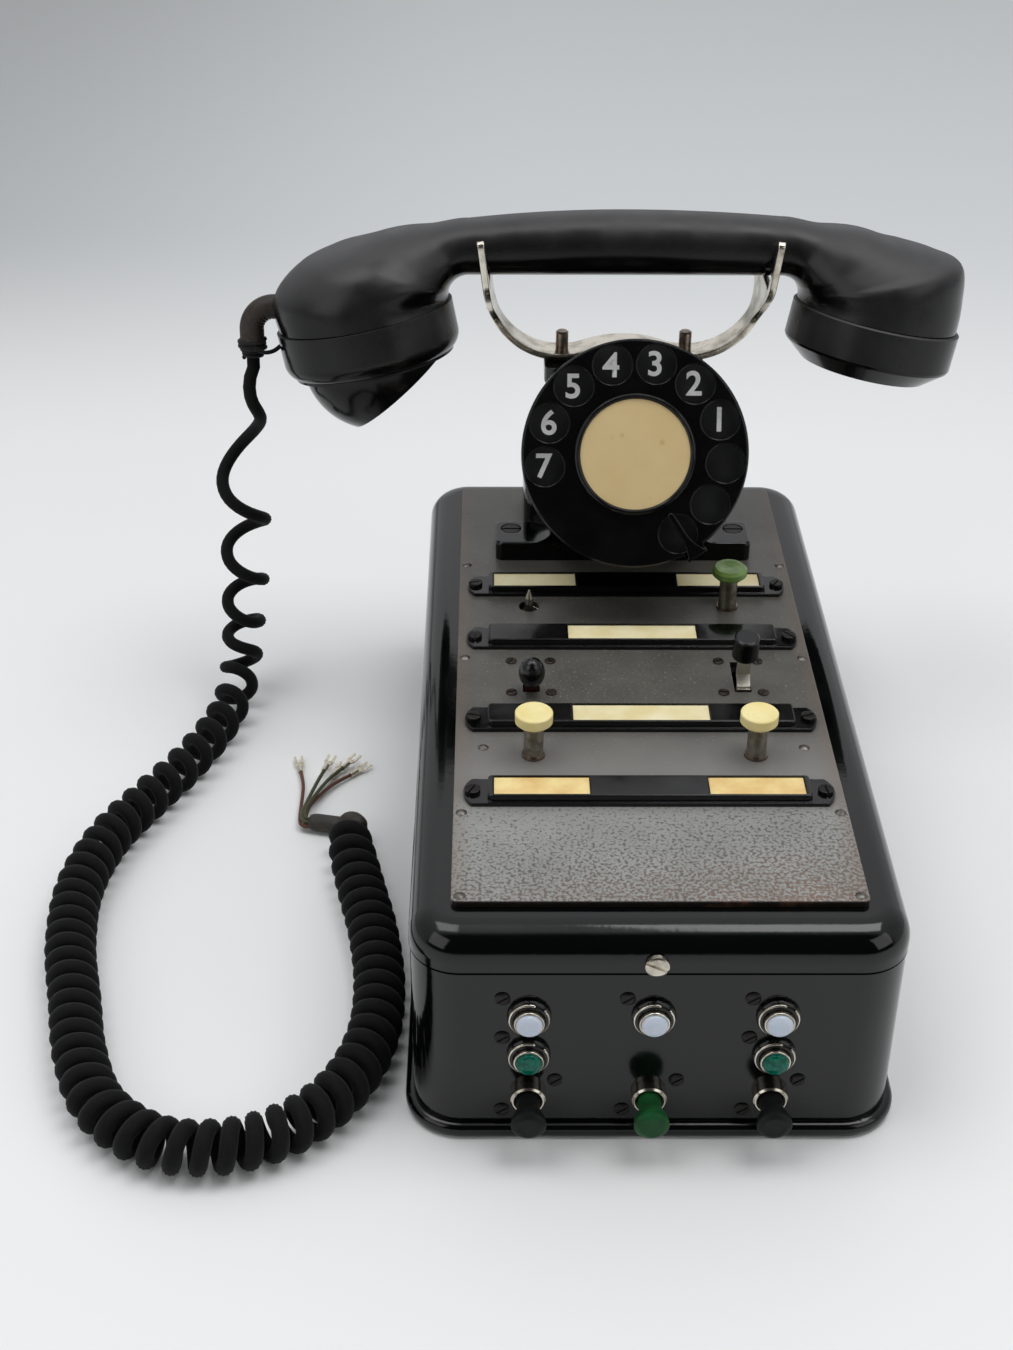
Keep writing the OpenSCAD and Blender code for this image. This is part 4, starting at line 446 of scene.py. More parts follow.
def fan(rows, side):
    """Sections swept round an elbow, from its cup to the grip; side is -1 for the mouthpiece end."""
    rows = [np.array(row, float) for row in rows]
    rings = []
    for t in np.linspace(0, len(rows) - 1, FAN_RINGS, endpoint=False):
        angle, reach, half_w, power = curve_at(rows, t)
        way = np.array([-side * math.cos(math.radians(angle)), 0, math.sin(math.radians(angle))])
        mid = np.array([side * ELBOW_X, 0, ELBOW_Z]) + way * (ELBOW_R + reach) / 2
        rings.append(section(mid, way, (reach - ELBOW_R) / 2, half_w, power))
    return rings


grip = []
for f in np.linspace(-1, 1, GRIP_RINGS):
    top = GRIP_H / 2 - (GRIP_FALL if f < 0 else EAR_FALL) * f * f
    grip.append(section((f * ELBOW_X, 0, (top + GRIP_LOW) / 2), (0, 0, 1), (top - GRIP_LOW) / 2,
                        GRIP_HALF_W, SQUARENESS))
handle = skin("handle", np.array(fan(mouth_fan, -1) + grip + fan(ear_fan, 1)[::-1]) * MM)
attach(handle, "handset")
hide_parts("handset_handle")
print("handle points:", len(handle.data.vertices))

# %% [markdown]
# The cradle strip
#
# The cradle is a strip of nickelled steel, bent up at both ends and split into a fork that holds the
# grip. It is drawn as it was cut: a flat blank laid along the bend line, with three bands across its
# width. The middle band stops where the fork opens. A solidify modifier gives the sheet its thickness and
# a bevel rounds its edges as polishing does.

# %% Strip blank
STRIP_T, STRIP_W, BEND_R, BEND_X, HUMP_R, CRADLE_Z = 2.4, 10.5, 25.5, 22.0, 40.0, 138.0
FORK_OUT, FORK_IN, FORK_SHOULDER, FORK_SPREAD = 19.0, 15.4, 151.0, 169.0
FORK_TIP, NOTCH_Z = 185.0, 167.05
BACK_TIP, STRIP_EDGE, EDGE_TURN = 180.4, 0.45, math.radians(50)
ARM_TURN, ARM_STEPS, BEND_STEPS, HUMP_STEPS = math.radians(83), 34, 60, 16
BEND_Z = CRADLE_Z + BEND_R
HUMP_HALF = math.asin(BEND_X / (HUMP_R + BEND_R))
HUMP_Z = BEND_Z - (HUMP_R + BEND_R) * math.cos(HUMP_HALF)


def strip_half():
    """Right half of the bend line: x, z."""
    line = [(HUMP_R * math.sin(a), HUMP_Z + HUMP_R * math.cos(a))
            for a in np.linspace(0, HUMP_HALF, HUMP_STEPS)]
    line += [(BEND_X + BEND_R * math.sin(a), BEND_Z - BEND_R * math.cos(a))
             for a in np.linspace(-HUMP_HALF, ARM_TURN, BEND_STEPS)[1:]]
    x, z = line[-1]
    run = (FORK_TIP - z) / math.sin(ARM_TURN)
    line += [(x + run * f * math.cos(ARM_TURN), z + run * f * math.sin(ARM_TURN))
             for f in np.linspace(0, 1, ARM_STEPS)[1:]]
    return line


def fork_widths(x, z, tip):
    """Outer and inner half width of the blank at a height, for a tine that ends at tip."""
    spread = min(max((z - FORK_SHOULDER) / (FORK_SPREAD - FORK_SHOULDER), 0), 1) if x > BEND_X else 0
    spread = spread * spread * (3 - 2 * spread)
    outer = STRIP_W / 2 + (FORK_OUT - STRIP_W / 2) * spread
    inner = outer * FORK_IN / FORK_OUT
    tine = (outer - inner) / 2
    left = tip - z
    if x > BEND_X and left < tine:
        narrow = tine - math.sqrt(max(tine ** 2 - (tine - left) ** 2, 0)) * 0.98
        outer, inner = outer - narrow, inner + narrow
    return outer, inner


half_line = strip_half()
whole_line = [(-x, z) for x, z in half_line[:0:-1]] + half_line
blank = bmesh.new()
columns = []
for x, z in whole_line:
    front_out, front_in = fork_widths(abs(x), z, FORK_TIP)
    back_out, back_in = fork_widths(abs(x), z, BACK_TIP)
    columns.append([blank.verts.new((x * MM, (CRADLE_Y + y) * MM, z * MM))
                    for y in (-front_out, -front_in, back_in, back_out)])
for i in range(len(columns) - 1):
    a, b = columns[i], columns[i + 1]
    height = (whole_line[i][1] + whole_line[i + 1][1]) / 2
    for k, top in enumerate((FORK_TIP, NOTCH_Z, BACK_TIP)):
        if height <= top:
            blank.faces.new((a[k], a[k + 1], b[k + 1], b[k]))
bmesh.ops.delete(blank, geom=[v for v in blank.verts if not v.link_faces], context="VERTS")
bmesh.ops.recalc_face_normals(blank, faces=blank.faces)
strip = from_bmesh("cradle_sheet", blank)
strip.data.shade_smooth()
thicken = strip.modifiers.new("thickness", "SOLIDIFY")
thicken.thickness, thicken.offset, thicken.use_even_offset = STRIP_T * MM, 0, True
rounded = strip.modifiers.new("edges", "BEVEL")
rounded.width, rounded.segments, rounded.limit_method = STRIP_EDGE * MM, 3, "ANGLE"
rounded.angle_limit = EDGE_TURN
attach(strip, "cradle")
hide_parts("cradle_strip")
print("strip points:", len(strip.data.vertices))

# %% [markdown]
# Numbers on the dial
#
# The number plate lies under the finger wheel and carries the digits in white. Text objects would do, but
# a mesh exports safely, so each digit is set as text, turned into a mesh and laid on the tilted plate.
# The one is a plain bar, as on dials of this kind. The plate itself is drawn a little wider than the CAD
# one, so that no light shows through at the outer edge of the holes.

# %% Digits
DIAL_Y, DIAL_Z, DIAL_TILT = 34.5, 134.0, math.radians(23)
PLATE_TOP, DIGIT_R, DIGIT_H, DIGIT_BOLD, DIGIT_LIFT, FONT_FIT = -4.4, 29.6, 8.0, 0.22, 0.05, 1.37
digit_angles = {"1": 22, "2": 50, "3": 77.7, "4": 105.6, "5": 133, "6": 160.3, "7": 188, "8": 216, "9": 243,
                "0": 271}
at_dial = (Matrix.Translation(Vector((0, DIAL_Y, DIAL_Z)) * MM)
           @ Matrix.Rotation(math.pi / 2 - DIAL_TILT, 4, "X"))
digits = []
for digit, angle in digit_angles.items():
    lettering = bpy.data.curves.new("digit_" + digit, "FONT")
    lettering.body = "I" if digit == "1" else digit
    lettering.align_x, lettering.align_y = "CENTER", "CENTER"
    lettering.size = DIGIT_H * FONT_FIT * MM
    lettering.offset = DIGIT_BOLD * MM
    lettering.resolution_u = 6
    setting = placed("setting", lettering)
    bpy.context.view_layer.update()
    flat = bpy.data.meshes.new_from_object(setting.evaluated_get(bpy.context.evaluated_depsgraph_get()))
    bpy.data.objects.remove(setting)
    points = np.array([v.co for v in flat.vertices])
    middle = (points.min(axis=0) + points.max(axis=0)) / 2
    x, y = DIGIT_R * math.cos(math.radians(angle)), DIGIT_R * math.sin(math.radians(angle))
    seat = Vector((x, y, PLATE_TOP + DIGIT_LIFT)) * MM
    flat.transform(at_dial @ Matrix.Translation(seat - Vector(middle)))
    piece = placed("digit_" + digit, flat)
    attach(piece, "base")
    digits.append(piece)
print("digits:", len(digits), "height:", round(float(np.ptp(points[:, 1])) / MM, 2), "mm")

# %% Number plate
PLATE_R, PLATE_T, PLATE_EDGE, PLATE_SIDES = 36.2, 1, 0.1, 96
plate_rows = [(PLATE_TOP - PLATE_T, PLATE_R), (PLATE_TOP - PLATE_EDGE, PLATE_R),
              (PLATE_TOP, PLATE_R - PLATE_EDGE)]
plate_rings = [[at_dial @ (Vector((r * math.cos(a), r * math.sin(a), out)) * MM)
                for a in circle(PLATE_SIDES)] for out, r in plate_rows]
number_plate = skin("dial_plate", plate_rings, smooth=False)
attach(number_plate, "base")
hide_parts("number_plate")
print("number plate:", 2 * PLATE_R, "mm wide")

# %% [markdown]
# Lamps
#
# Each lamp shows three rings: a bright open spring ring with its gap at the upper right, a dark groove,
# where the bezel is lacquered black as a painted shade, and a nickel collar that holds the lens. The ring
# is round wire bent on a circle. Collar and lens are turned pieces, drawn as rows of distance from the
# front and radius, with more rings than the CAD lens for a clean dome.

# %% Spring rings
FRONT_PITCH, FRONT_X, FRONT_Y, WHITE_Z, GREEN_Z = 34.4, -1.5, -132.5, 46.0, 31.5
SPRING_R, SPRING_WIRE, SPRING_OUT, GAP_FROM, GAP_TO = 5.35, 0.5, 1.75, 40, 72
SPRING_RINGS, SPRING_SIDES = 60, 10
lamp_places = [(-1, WHITE_Z), (0, WHITE_Z), (1, WHITE_Z), (-1, GREEN_Z), (1, GREEN_Z)]
springs = []
for k, (column, z) in enumerate(lamp_places):
    arc = np.radians(np.linspace(GAP_TO, 360 + GAP_FROM, SPRING_RINGS))
    line = np.array([(column * FRONT_PITCH + FRONT_X + SPRING_R * math.cos(a), FRONT_Y - SPRING_OUT,
                      z + SPRING_R * math.sin(a)) for a in arc])
    spring = skin(f"spring_ring_{k + 1}", tube_rings(line, np.full(SPRING_SIDES, SPRING_WIRE)) * MM)
    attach(spring, "base")
    springs.append(spring)
print("spring rings:", len(springs))

# %% Collars and lenses
collar_rows = [(0.5, 4.35), (3.4, 4.35), (3.7, 4.28), (3.85, 4.1), (3.85, 3.9), (3.7, 3.72)]
lens_rows = [(3.0, 3.68), (4.2, 3.68), (4.5, 3.6), (4.75, 3.4), (5.0, 2.95), (5.2, 2.2), (5.32, 1.3),
             (5.36, 0.4)]


def turned(name, x, z, rows, sides=48):
    """A turned piece on the front's axis, from rows of distance from the front and radius."""
    return skin(name, np.array([[(x + r * math.cos(a), FRONT_Y - out, z + r * math.sin(a))
                                 for a in circle(sides)] for out, r in rows]) * MM)


collars, white_lenses, green_lenses = [], [], []
for k, (column, z) in enumerate(lamp_places):
    x = column * FRONT_PITCH + FRONT_X
    collars.append(turned(f"lamp_collar_{k + 1}", x, z, collar_rows))
    lens = turned(f"lens_{k + 1}", x, z, lens_rows)
    (white_lenses if z == WHITE_Z else green_lenses).append(lens)
for piece in (*collars, *white_lenses, *green_lenses):
    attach(piece, "base")
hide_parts("white_lenses")
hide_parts("green_lenses")
print("lenses:", len(white_lenses), "white,", len(green_lenses), "green")

# %% [markdown]
# Screws of the panel
#
# The rails are held by round-headed screws and the lever keys by smaller ones that sit nearly flush. A
# slotted head is a thin disc with two raised halves, so the slot between them is a real groove.

# %% Screw heads
PANEL_TOP, RAIL_FLANGE, RAIL_SCREW_X, LEVER_X, LEVER_Y = 76.0, 1.2, 51.9, 33.7, -8.3
RAIL_HEAD, LEVER_HEAD, SCREW_DX, SCREW_DY = (2.3, 1.2), (1.75, 0.5), 6.3, 9.1
FIRST_TURN, NEXT_TURN, HEAD_SIDES, HALF_POINTS, HEAD_FOOT = 20, 37, 32, 15, 0.3
SLOT_FLOOR, ROUNDED, DOMED = 0.35, 0.15, 0.35
rail_ys = (47.6, 13.8, -33.2, -71.0)
rail_heads = [(s * RAIL_SCREW_X, y, PANEL_TOP + RAIL_FLANGE, *RAIL_HEAD) for y in rail_ys for s in (-1, 1)]
lever_heads = [(s * LEVER_X + sx * SCREW_DX, LEVER_Y + sy * SCREW_DY, PANEL_TOP, *LEVER_HEAD)
               for s in (-1, 1) for sx in (-1, 1) for sy in (-1, 1)]


def slotted_heads(name, places, slot=0.3):
    """One mesh of slotted screw heads; each place is x, y, z, radius and height."""
    work = bmesh.new()
    for k, (x, y, z, r, h) in enumerate(places):
        turn, low = math.radians(NEXT_TURN * k + FIRST_TURN), math.asin(slot / r)
        parts = [(circle(HEAD_SIDES), -HEAD_FOOT, SLOT_FLOOR * h, 0)]
        parts += [(np.linspace(low, math.pi - low, HALF_POINTS) + flip + turn, 0, h, ROUNDED * r)
                  for flip in (0, math.pi)]
        for angles, foot, top, inset in parts:
            rims = [[work.verts.new(Vector((x + q * math.cos(a), y + q * math.sin(a), z + up)) * MM)
                     for a in angles] for up, q in ((foot, r), (top - DOMED * inset, r), (top, r - inset))]
            for low_rim, high_rim in zip(rims, rims[1:]):
                for i in range(len(angles)):
                    j = (i + 1) % len(angles)
                    work.faces.new((low_rim[i], low_rim[j], high_rim[j], high_rim[i]))
            work.faces.new(rims[-1])
    piece = from_bmesh(name, work)
    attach(piece, "base")
    return piece


rail_screws = slotted_heads("rail_screw_heads", rail_heads)
lever_screws = slotted_heads("lever_screw_heads", lever_heads)
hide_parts("panel_screws")
print("screw heads:", len(rail_heads), "on rails,", len(lever_heads), "by levers")

# %% [markdown]
# Finishes
#
# Every finish starts from what the real surface is. One function turns the written colours from sRGB to
# the linear values that the shader wants, one fills a node's inputs, one adds a node and one opens a
# material. The CAD pieces lie in metres of the part's own frame, so object coordinates give patterns a
# real size.

# %% Helpers for finishes


def linear(code):
    """sRGB hex to a linear colour with alpha."""
    parts = [int(code[i:i + 2], 16) / 255 for i in (1, 3, 5)]
    return tuple(c / 12.92 if c <= 0.04045 else ((c + 0.055) / 1.055) ** 2.4 for c in parts) + (1.0,)


def join(node, inputs):
    """Fill inputs with values, hex colours, outputs, or nodes, which give their first output."""
    for key, value in inputs.items():
        if isinstance(value, bpy.types.Node):
            value = next(socket for socket in value.outputs if socket.enabled)
        if isinstance(value, bpy.types.NodeSocket):
            node.id_data.links.new(value, node.inputs[key])
        else:
            node.inputs[key].default_value = linear(value) if isinstance(value, str) else value


def add(tree, kind, inputs=None, **settings):
    """A shader node of that kind with its settings and inputs."""
    made = tree.nodes.new("ShaderNode" + kind)
    for key, value in settings.items():
        setattr(made, key, value)
    join(made, inputs or {})
    return made


def finish(name, **values):
    """A new material: its tree, its shader with plain values set, and object coordinates."""
    material = bpy.data.materials.new(name)
    material.use_nodes = True
    tree = material.node_tree
    shader = tree.nodes["Principled BSDF"]
    join(shader, {key.replace("_", " "): value for key, value in values.items()})
    return material, tree, shader, add(tree, "TexCoord").outputs["Object"]


def dress(material, *pieces):
    """Give a finish to CAD nodes by name, or to pieces."""
    for piece in pieces:
        piece = nodes[piece] if isinstance(piece, str) else piece
        piece.data.materials.clear()
        piece.data.materials.append(material)


def per_mm(size):
    """Scale of a texture whose feature is that many millimetres across."""
    return 1000 / size


print("finish helpers ready")

# %% [markdown]
# Stoved enamel on steel
#
# The case is pressed steel with black enamel baked on. It mirrors the paper round it, with the slight
# orange peel of a sprayed coat, about 2 mm from crest to crest. A film of dust dulls it in patches, and
# there are small pale nicks. A thin band along the joint below the cover mirrors nothing, so it renders
# as a dark line: painted shade for the shadow of the groove.
# Enamel and lacquer pull back from sharp edges, so a bevel node rounds them by half a millimetre or a
# little more, and they catch a thin line of light.

# %% Black enamel
SEAM_Z, SEAM_HALF, EDGE_ROUND = 0.0615, 0.0004, 0.0005
enamel, tree, shader, where = finish("black_stoved_enamel", IOR=1.46)
cloud = add(tree, "TexNoise", {"Vector": where, "Scale": per_mm(45), "Detail": 5.0})
dull = add(tree, "MapRange", {"Value": cloud, "From Min": 0.35, "From Max": 0.7, "To Min": 0.07,
                              "To Max": 0.17})
grit = add(tree, "TexNoise", {"Vector": where, "Scale": per_mm(1.6), "Detail": 2.0})
nick = add(tree, "MapRange", {"Value": grit, "From Min": 0.77, "From Max": 0.8})
colour = add(tree, "Mix", {"Factor": nick, "A": "#040505", "B": "#3a3734"}, data_type="RGBA")
place = add(tree, "SeparateXYZ", {"Vector": where})
# Painted shade: a thin band along the seam below the cover gets no reflection, so it renders as a dark
# line.
from_seam = add(tree, "Math", {0: place.outputs["Z"], 1: SEAM_Z}, operation="SUBTRACT")
off_seam = add(tree, "Math", {0: from_seam}, operation="ABSOLUTE")
mirrors = add(tree, "MapRange", {"Value": off_seam, "From Min": SEAM_HALF, "From Max": 1.5 * SEAM_HALF,
                                 "To Max": 0.5})
peel = add(tree, "TexNoise", {"Vector": where, "Scale": per_mm(2.2), "Detail": 1.0})
edges = add(tree, "Bevel", {"Radius": EDGE_ROUND})
relief = add(tree, "Bump", {"Height": peel, "Strength": 0.03, "Distance": 0.0006, "Normal": edges})
join(shader, {"Base Color": colour, "Roughness": dull, "Specular IOR Level": mirrors, "Normal": relief})
dress(enamel, "base_plate", "lower_case", "top_cover", "dial_pedestal", "hook_guide")
print("enamel:", enamel.name)

# %% [markdown]
# The worn panel
#
# The panel is steel with a thin brown-black lacquer. Hands have rubbed the strip in front of the last
# rail down to grey metal, and damp has pitted it with dark specks, more of them towards the front and the
# right, where they turn to rust. The rest is dull lacquer, painted paler towards the front as a painted
# sheen, a little warmer along both sides, and the cut edge at the front has rusted.

# %% Panel masks
PANEL_HALF_W, BARE_FROM, BARE_TO, SIDE_TINT = 0.0575, -0.069, -0.084, 0.006
SHEEN_FROM, SHEEN_TO, CROWD_FROM, CROWD_TO = -0.03, -0.06, -0.08, -0.119
panel, tree, shader, where = finish("worn_panel_lacquer", IOR=1.5)
place = add(tree, "SeparateXYZ", {"Vector": where})
facing = add(tree, "NewGeometry")
lean = add(tree, "SeparateXYZ", {"Vector": facing.outputs["Normal"]})
clouds = add(tree, "TexNoise", {"Vector": where, "Scale": per_mm(16), "Detail": 6.0, "Roughness": 0.6})
specks = add(tree, "TexNoise", {"Vector": where, "Scale": per_mm(1.0), "Detail": 4.0, "Distortion": 0.2})
bare_line = add(tree, "MapRange", {"Value": clouds, "From Min": 0.3, "From Max": 0.7, "To Min": -0.005,
                                   "To Max": 0.005})
bare_y = add(tree, "Math", {0: place.outputs["Y"], 1: bare_line}, operation="ADD")
bare = add(tree, "MapRange", {"Value": bare_y, "From Min": BARE_FROM, "From Max": BARE_TO},
           interpolation_type="SMOOTHSTEP")
far_x = add(tree, "Math", {0: place.outputs["X"]}, operation="ABSOLUTE")
side = add(tree, "MapRange", {"Value": far_x, "From Min": PANEL_HALF_W - SIDE_TINT,
                              "From Max": PANEL_HALF_W, "To Max": 0.7})
side_tint = add(tree, "Math", {0: side, 1: clouds}, operation="MULTIPLY")
front_face = add(tree, "MapRange", {"Value": lean.outputs["Y"], "From Min": -0.4, "From Max": -0.7})
crowd_x = add(tree, "MapRange", {"Value": place.outputs["X"], "From Min": -PANEL_HALF_W,
                                 "From Max": PANEL_HALF_W, "To Min": 0.0, "To Max": 0.05})
crowd_y = add(tree, "MapRange", {"Value": place.outputs["Y"], "From Min": CROWD_FROM, "From Max": CROWD_TO,
                                 "To Min": -0.04, "To Max": 0.06})
crowd = add(tree, "Math", {0: crowd_x, 1: crowd_y}, operation="ADD")
crowded = add(tree, "Math", {0: specks, 1: crowd}, operation="ADD")
pitted = add(tree, "MapRange", {"Value": crowded, "From Min": 0.52, "From Max": 0.63, "To Max": 0.85})
flecks = add(tree, "MapRange", {"Value": specks, "From Min": 0.62, "From Max": 0.7, "To Max": 0.75})
# Painted sheen: the lacquer is painted paler towards the front, between the lower and the front rail.
dust_and_sheen = add(tree, "MapRange", {"Value": place.outputs["Y"], "From Min": SHEEN_FROM, "From Max": SHEEN_TO,
                               "To Max": 0.55})
rusty = add(tree, "MapRange", {"Value": crowd, "From Min": 0.03, "From Max": 0.11})
rust_patch = add(tree, "Math", {0: rusty, 1: clouds}, operation="MULTIPLY")
edge_patch = add(tree, "MapRange", {"Value": clouds, "From Min": 0.54, "From Max": 0.72})
print("panel masks ready")

# %% Panel lacquer
lacquer = add(tree, "Mix", {"Factor": clouds, "A": "#3b3a36", "B": "#63625c"}, data_type="RGBA")
with_sheen = add(tree, "Mix", {"Factor": dust_and_sheen, "A": lacquer, "B": "#8b8a88"}, data_type="RGBA")
flecked = add(tree, "Mix", {"Factor": flecks, "A": with_sheen, "B": "#8a7d70"}, data_type="RGBA")
rubbed = add(tree, "Mix", {"Factor": clouds, "A": "#787a77", "B": "#9c9d9a"}, data_type="RGBA")
rust_tone = add(tree, "Mix", {"Factor": rust_patch, "A": "#4b453f", "B": "#80573d"}, data_type="RGBA")
pits = add(tree, "Mix", {"Factor": pitted, "A": rubbed, "B": rust_tone}, data_type="RGBA")
worn = add(tree, "Mix", {"Factor": bare, "A": flecked, "B": pits}, data_type="RGBA")
warm = add(tree, "Mix", {"Factor": side_tint, "A": worn, "B": "#6b5545"}, data_type="RGBA")
edge_rust = add(tree, "Mix", {"Factor": edge_patch, "A": "#191512", "B": "#6d4329"}, data_type="RGBA")
edged = add(tree, "Mix", {"Factor": front_face, "A": warm, "B": edge_rust}, data_type="RGBA")
sheen = add(tree, "MapRange", {"Value": specks, "From Min": 0.3, "From Max": 0.7, "To Min": 0.3,
                               "To Max": 0.5})
relief = add(tree, "Bump", {"Height": specks, "Strength": 0.15, "Distance": 0.0003})
join(shader, {"Base Color": edged, "Roughness": sheen, "Normal": relief})
dress(panel, "control_panel")
print("panel:", panel.name)

# %% [markdown]
# Lacquered rails, dial and screws
#
# The label rails and the dial's wheel are thin pressed metal in gloss black lacquer, worn to a duller
# grey in patches. The number plate below the wheel is satin. The screws are blued steel: dark, with a
# soft metallic sheen.

# %% Black lacquer


def mottled(name, pieces, colours, patch, spread=(0, 1), dull=None, detail=5.0, crisp=0.5, **values):
    """A finish of two colours in patches of a size in mm; dull maps the patches to the roughness."""
    material, tree, shader, where = finish(name, **values)
    patches = add(tree, "TexNoise", {"Vector": where, "Scale": per_mm(patch), "Detail": detail,
                                     "Roughness": crisp})
    reach = add(tree, "MapRange", {"Value": patches, "From Min": spread[0], "From Max": spread[1]})
    join(shader, {"Base Color": add(tree, "Mix", {"Factor": reach, "A": colours[0], "B": colours[1]},
                                    data_type="RGBA")})
    if dull:
        limits = dict(zip(("From Min", "From Max", "To Min", "To Max"), dull))
        join(shader, {"Roughness": add(tree, "MapRange", {"Value": patches, **limits})})
    dress(material, *pieces)
    return tree, shader, where


# The lamp bezels take this black lacquer so that the groove round each lens is dark: a painted shade.
lacquered = ["label_rail_rear", "label_rail_upper", "label_rail_lower", "label_rail_front", "finger_wheel",
             "finger_stop", "disc_ring", "dial_can", "lamp_bezels", "left_lever_knob", "right_lever_knob"]
tree, shader, where = mottled("black_lacquer", lacquered, ("#030304", "#0a0a0b"), 9.0, detail=6.0,
                              dull=(0.3, 0.75, 0.08, 0.24), IOR=1.5)
join(shader, {"Normal": add(tree, "Bevel", {"Radius": 1.6 * EDGE_ROUND})})
print("lacquered pieces:", len(lacquered))

# %% Satin plate and blued steel
mottled("satin_black_plate", [number_plate], ("#161617", "#242526"), 7.0, detail=4.0,
        dull=(0, 1, 0.25, 0.45), IOR=1.5)
mottled("blued_steel", [rail_screws, "front_screws", "pedestal_screws"], ("#141415", "#3b3836"), 1.5,
        detail=4.0, dull=(0, 1, 0.28, 0.55), Metallic=0.85)
print("plate and screws ready")

# %% [markdown]
# Nickel plate and bare steel
#
# Nickel is a warm white metal. On an old set it is bright where it is rubbed and brownish where it is
# not, in patches of 5 to 10 mm. The key stems and the cradle's posts have lost their plate and gone grey
# or brown. Hidden brackets and guides are plain steel.

# %% Nickel, steel, tin and brass
metals = {
    "old_nickel_plate": ("#d8d2c4", "#8d8374", 6.0, 0.13, 0.34,
                         ["cover_screws", "button_collars", strip, *springs, *collars]),
    "satin_nickel_plate": ("#ece6d8", "#c3baa8", 6.0, 0.3, 0.45, ["right_lever"]),
    "greyed_steel": ("#a8a294", "#655c4e", 3.0, 0.26, 0.46,
                     ["bare_key_pin", "left_ivory_stem", "right_ivory_stem", "green_key_stem"]),
    "browned_steel": ("#8a7c70", "#4d4038", 3.0, 0.28, 0.5, ["push_key_guides", "cradle_posts"]),
    "worn_blued_steel": ("#4a443f", "#2b2622", 1.5, 0.35, 0.6, [lever_screws]),
    "rubbed_rivet_steel": ("#6d6a66", "#45413d", 1.5, 0.35, 0.6, ["panel_rivets"]),
    "rusty_steel": ("#7d5140", "#4a2f26", 2.5, 0.4, 0.65, ["left_lever"]),
    "plain_steel": ("#8d8a86", "#5f5b57", 3.0, 0.3, 0.55,
                    ["base_screws", "lever_key_frames", "dial_spindle", "voice_capsules"]),
    "tinned_sheet": ("#d6cfbc", "#a39a82", 1.5, 0.28, 0.5, lugs),
    "spring_brass": ("#c9a65c", "#8c6c35", 3.0, 0.25, 0.45, ["button_contacts", "hook_contacts"]),
}
for name, (bright, tarnished, patch, polished, worn_off, pieces) in metals.items():
    mottled(name, pieces, (bright, tarnished), patch, spread=(0.45, 0.75),
            dull=(0.3, 0.8, polished, worn_off), Metallic=1.0)
print("metals:", list(metals))

# %% [markdown]
# Bakelite
#
# The handset is black phenolic moulding. The surface that faces up is painted duller and paler grey, a
# painted sheen for the light from above, broken up in patches. The sides keep their deep black and
# mirror only weakly, a painted shade.

# %% Bakelite
bakelite, tree, shader, where = finish("black_bakelite", IOR=1.5)
facing = add(tree, "NewGeometry")
lean = add(tree, "SeparateXYZ", {"Vector": facing.outputs["Normal"]})
rub = add(tree, "TexNoise", {"Vector": where, "Scale": per_mm(18), "Detail": 5.0})
# Painted sheen: faces that point up are paler and duller, and the sides mirror less, a painted shade.
tops = add(tree, "MapRange", {"Value": lean.outputs["Z"], "From Min": -0.1, "From Max": 0.9})
sheen_and_rub = add(tree, "Math", {0: tops, 1: rub}, operation="MULTIPLY")
dull = add(tree, "MapRange", {"Value": sheen_and_rub, "From Max": 0.5, "To Min": 0.16, "To Max": 0.56})
colour = add(tree, "Mix", {"Factor": sheen_and_rub, "A": "#070708", "B": "#444445"}, data_type="RGBA")
mirrors = add(tree, "MapRange", {"Value": sheen_and_rub, "From Max": 0.4, "To Min": 0.22, "To Max": 0.5})
grain = add(tree, "TexNoise", {"Vector": where, "Scale": per_mm(0.8), "Detail": 2.0})
relief = add(tree, "Bump", {"Height": grain, "Strength": 0.05, "Distance": 0.0003})
join(shader, {"Base Color": colour, "Roughness": dull, "Specular IOR Level": mirrors, "Normal": relief})
dress(bakelite, handle, "mouthpiece_ring", "mouthpiece_horn", "earpiece_cap")
print("bakelite:", bakelite.name)

# %% [markdown]
# Cast plastics
#
# The ivory caps are casein, yellowed with age. The green cap is the same stuff, mottled like jade. The
# buttons on the front are turned from dyed rod. The caps have a waxy depth, so a little light spreads
# below their surface.

# %% Caps, buttons and digits
plastics = {
    "ivory_casein": ("#f4e6aa", "#e9d88e", 7.0, 0.3, 0.12, 0.5, ["left_ivory_cap", "right_ivory_cap"]),
    "mottled_green_casein": ("#74914c", "#4c6d29", 4.0, 0.25, 0.12, 0.5, ["green_key_cap"]),
    "green_button_rod": ("#17552a", "#0e3a1a", 5.0, 0.45, 0.0, 0.2, ["middle_button"]),
    "black_button_rod": ("#101213", "#08090a", 4.0, 0.5, 0.0, 0.2, ["left_button", "right_button"]),
    "brown_moulding": ("#35251a", "#241811", 5.0, 0.45, 0.0, 0.5, ["cable_bushes", "terminal_strip"]),
    "white_number_paint": ("#ffffff", "#f1f1ee", 1.5, 0.5, 0.0, 0.5, digits),
}
for name, (pale, deep, patch, gloss, depth, shine, pieces) in plastics.items():
    mottled(name, pieces, (pale, deep), patch, spread=(0.35, 0.7), dull=(0, 1, gloss - 0.1, gloss + 0.15),
            IOR=1.5, Subsurface_Weight=depth, Subsurface_Scale=0.001, Specular_IOR_Level=shine)
print("plastics:", list(plastics))

# %% [markdown]
# Label cards
#
# The cards are paper behind thin celluloid. The four rear ones are still cream. The front pair lay
# nearest to hands and light and has turned orange in clouds.

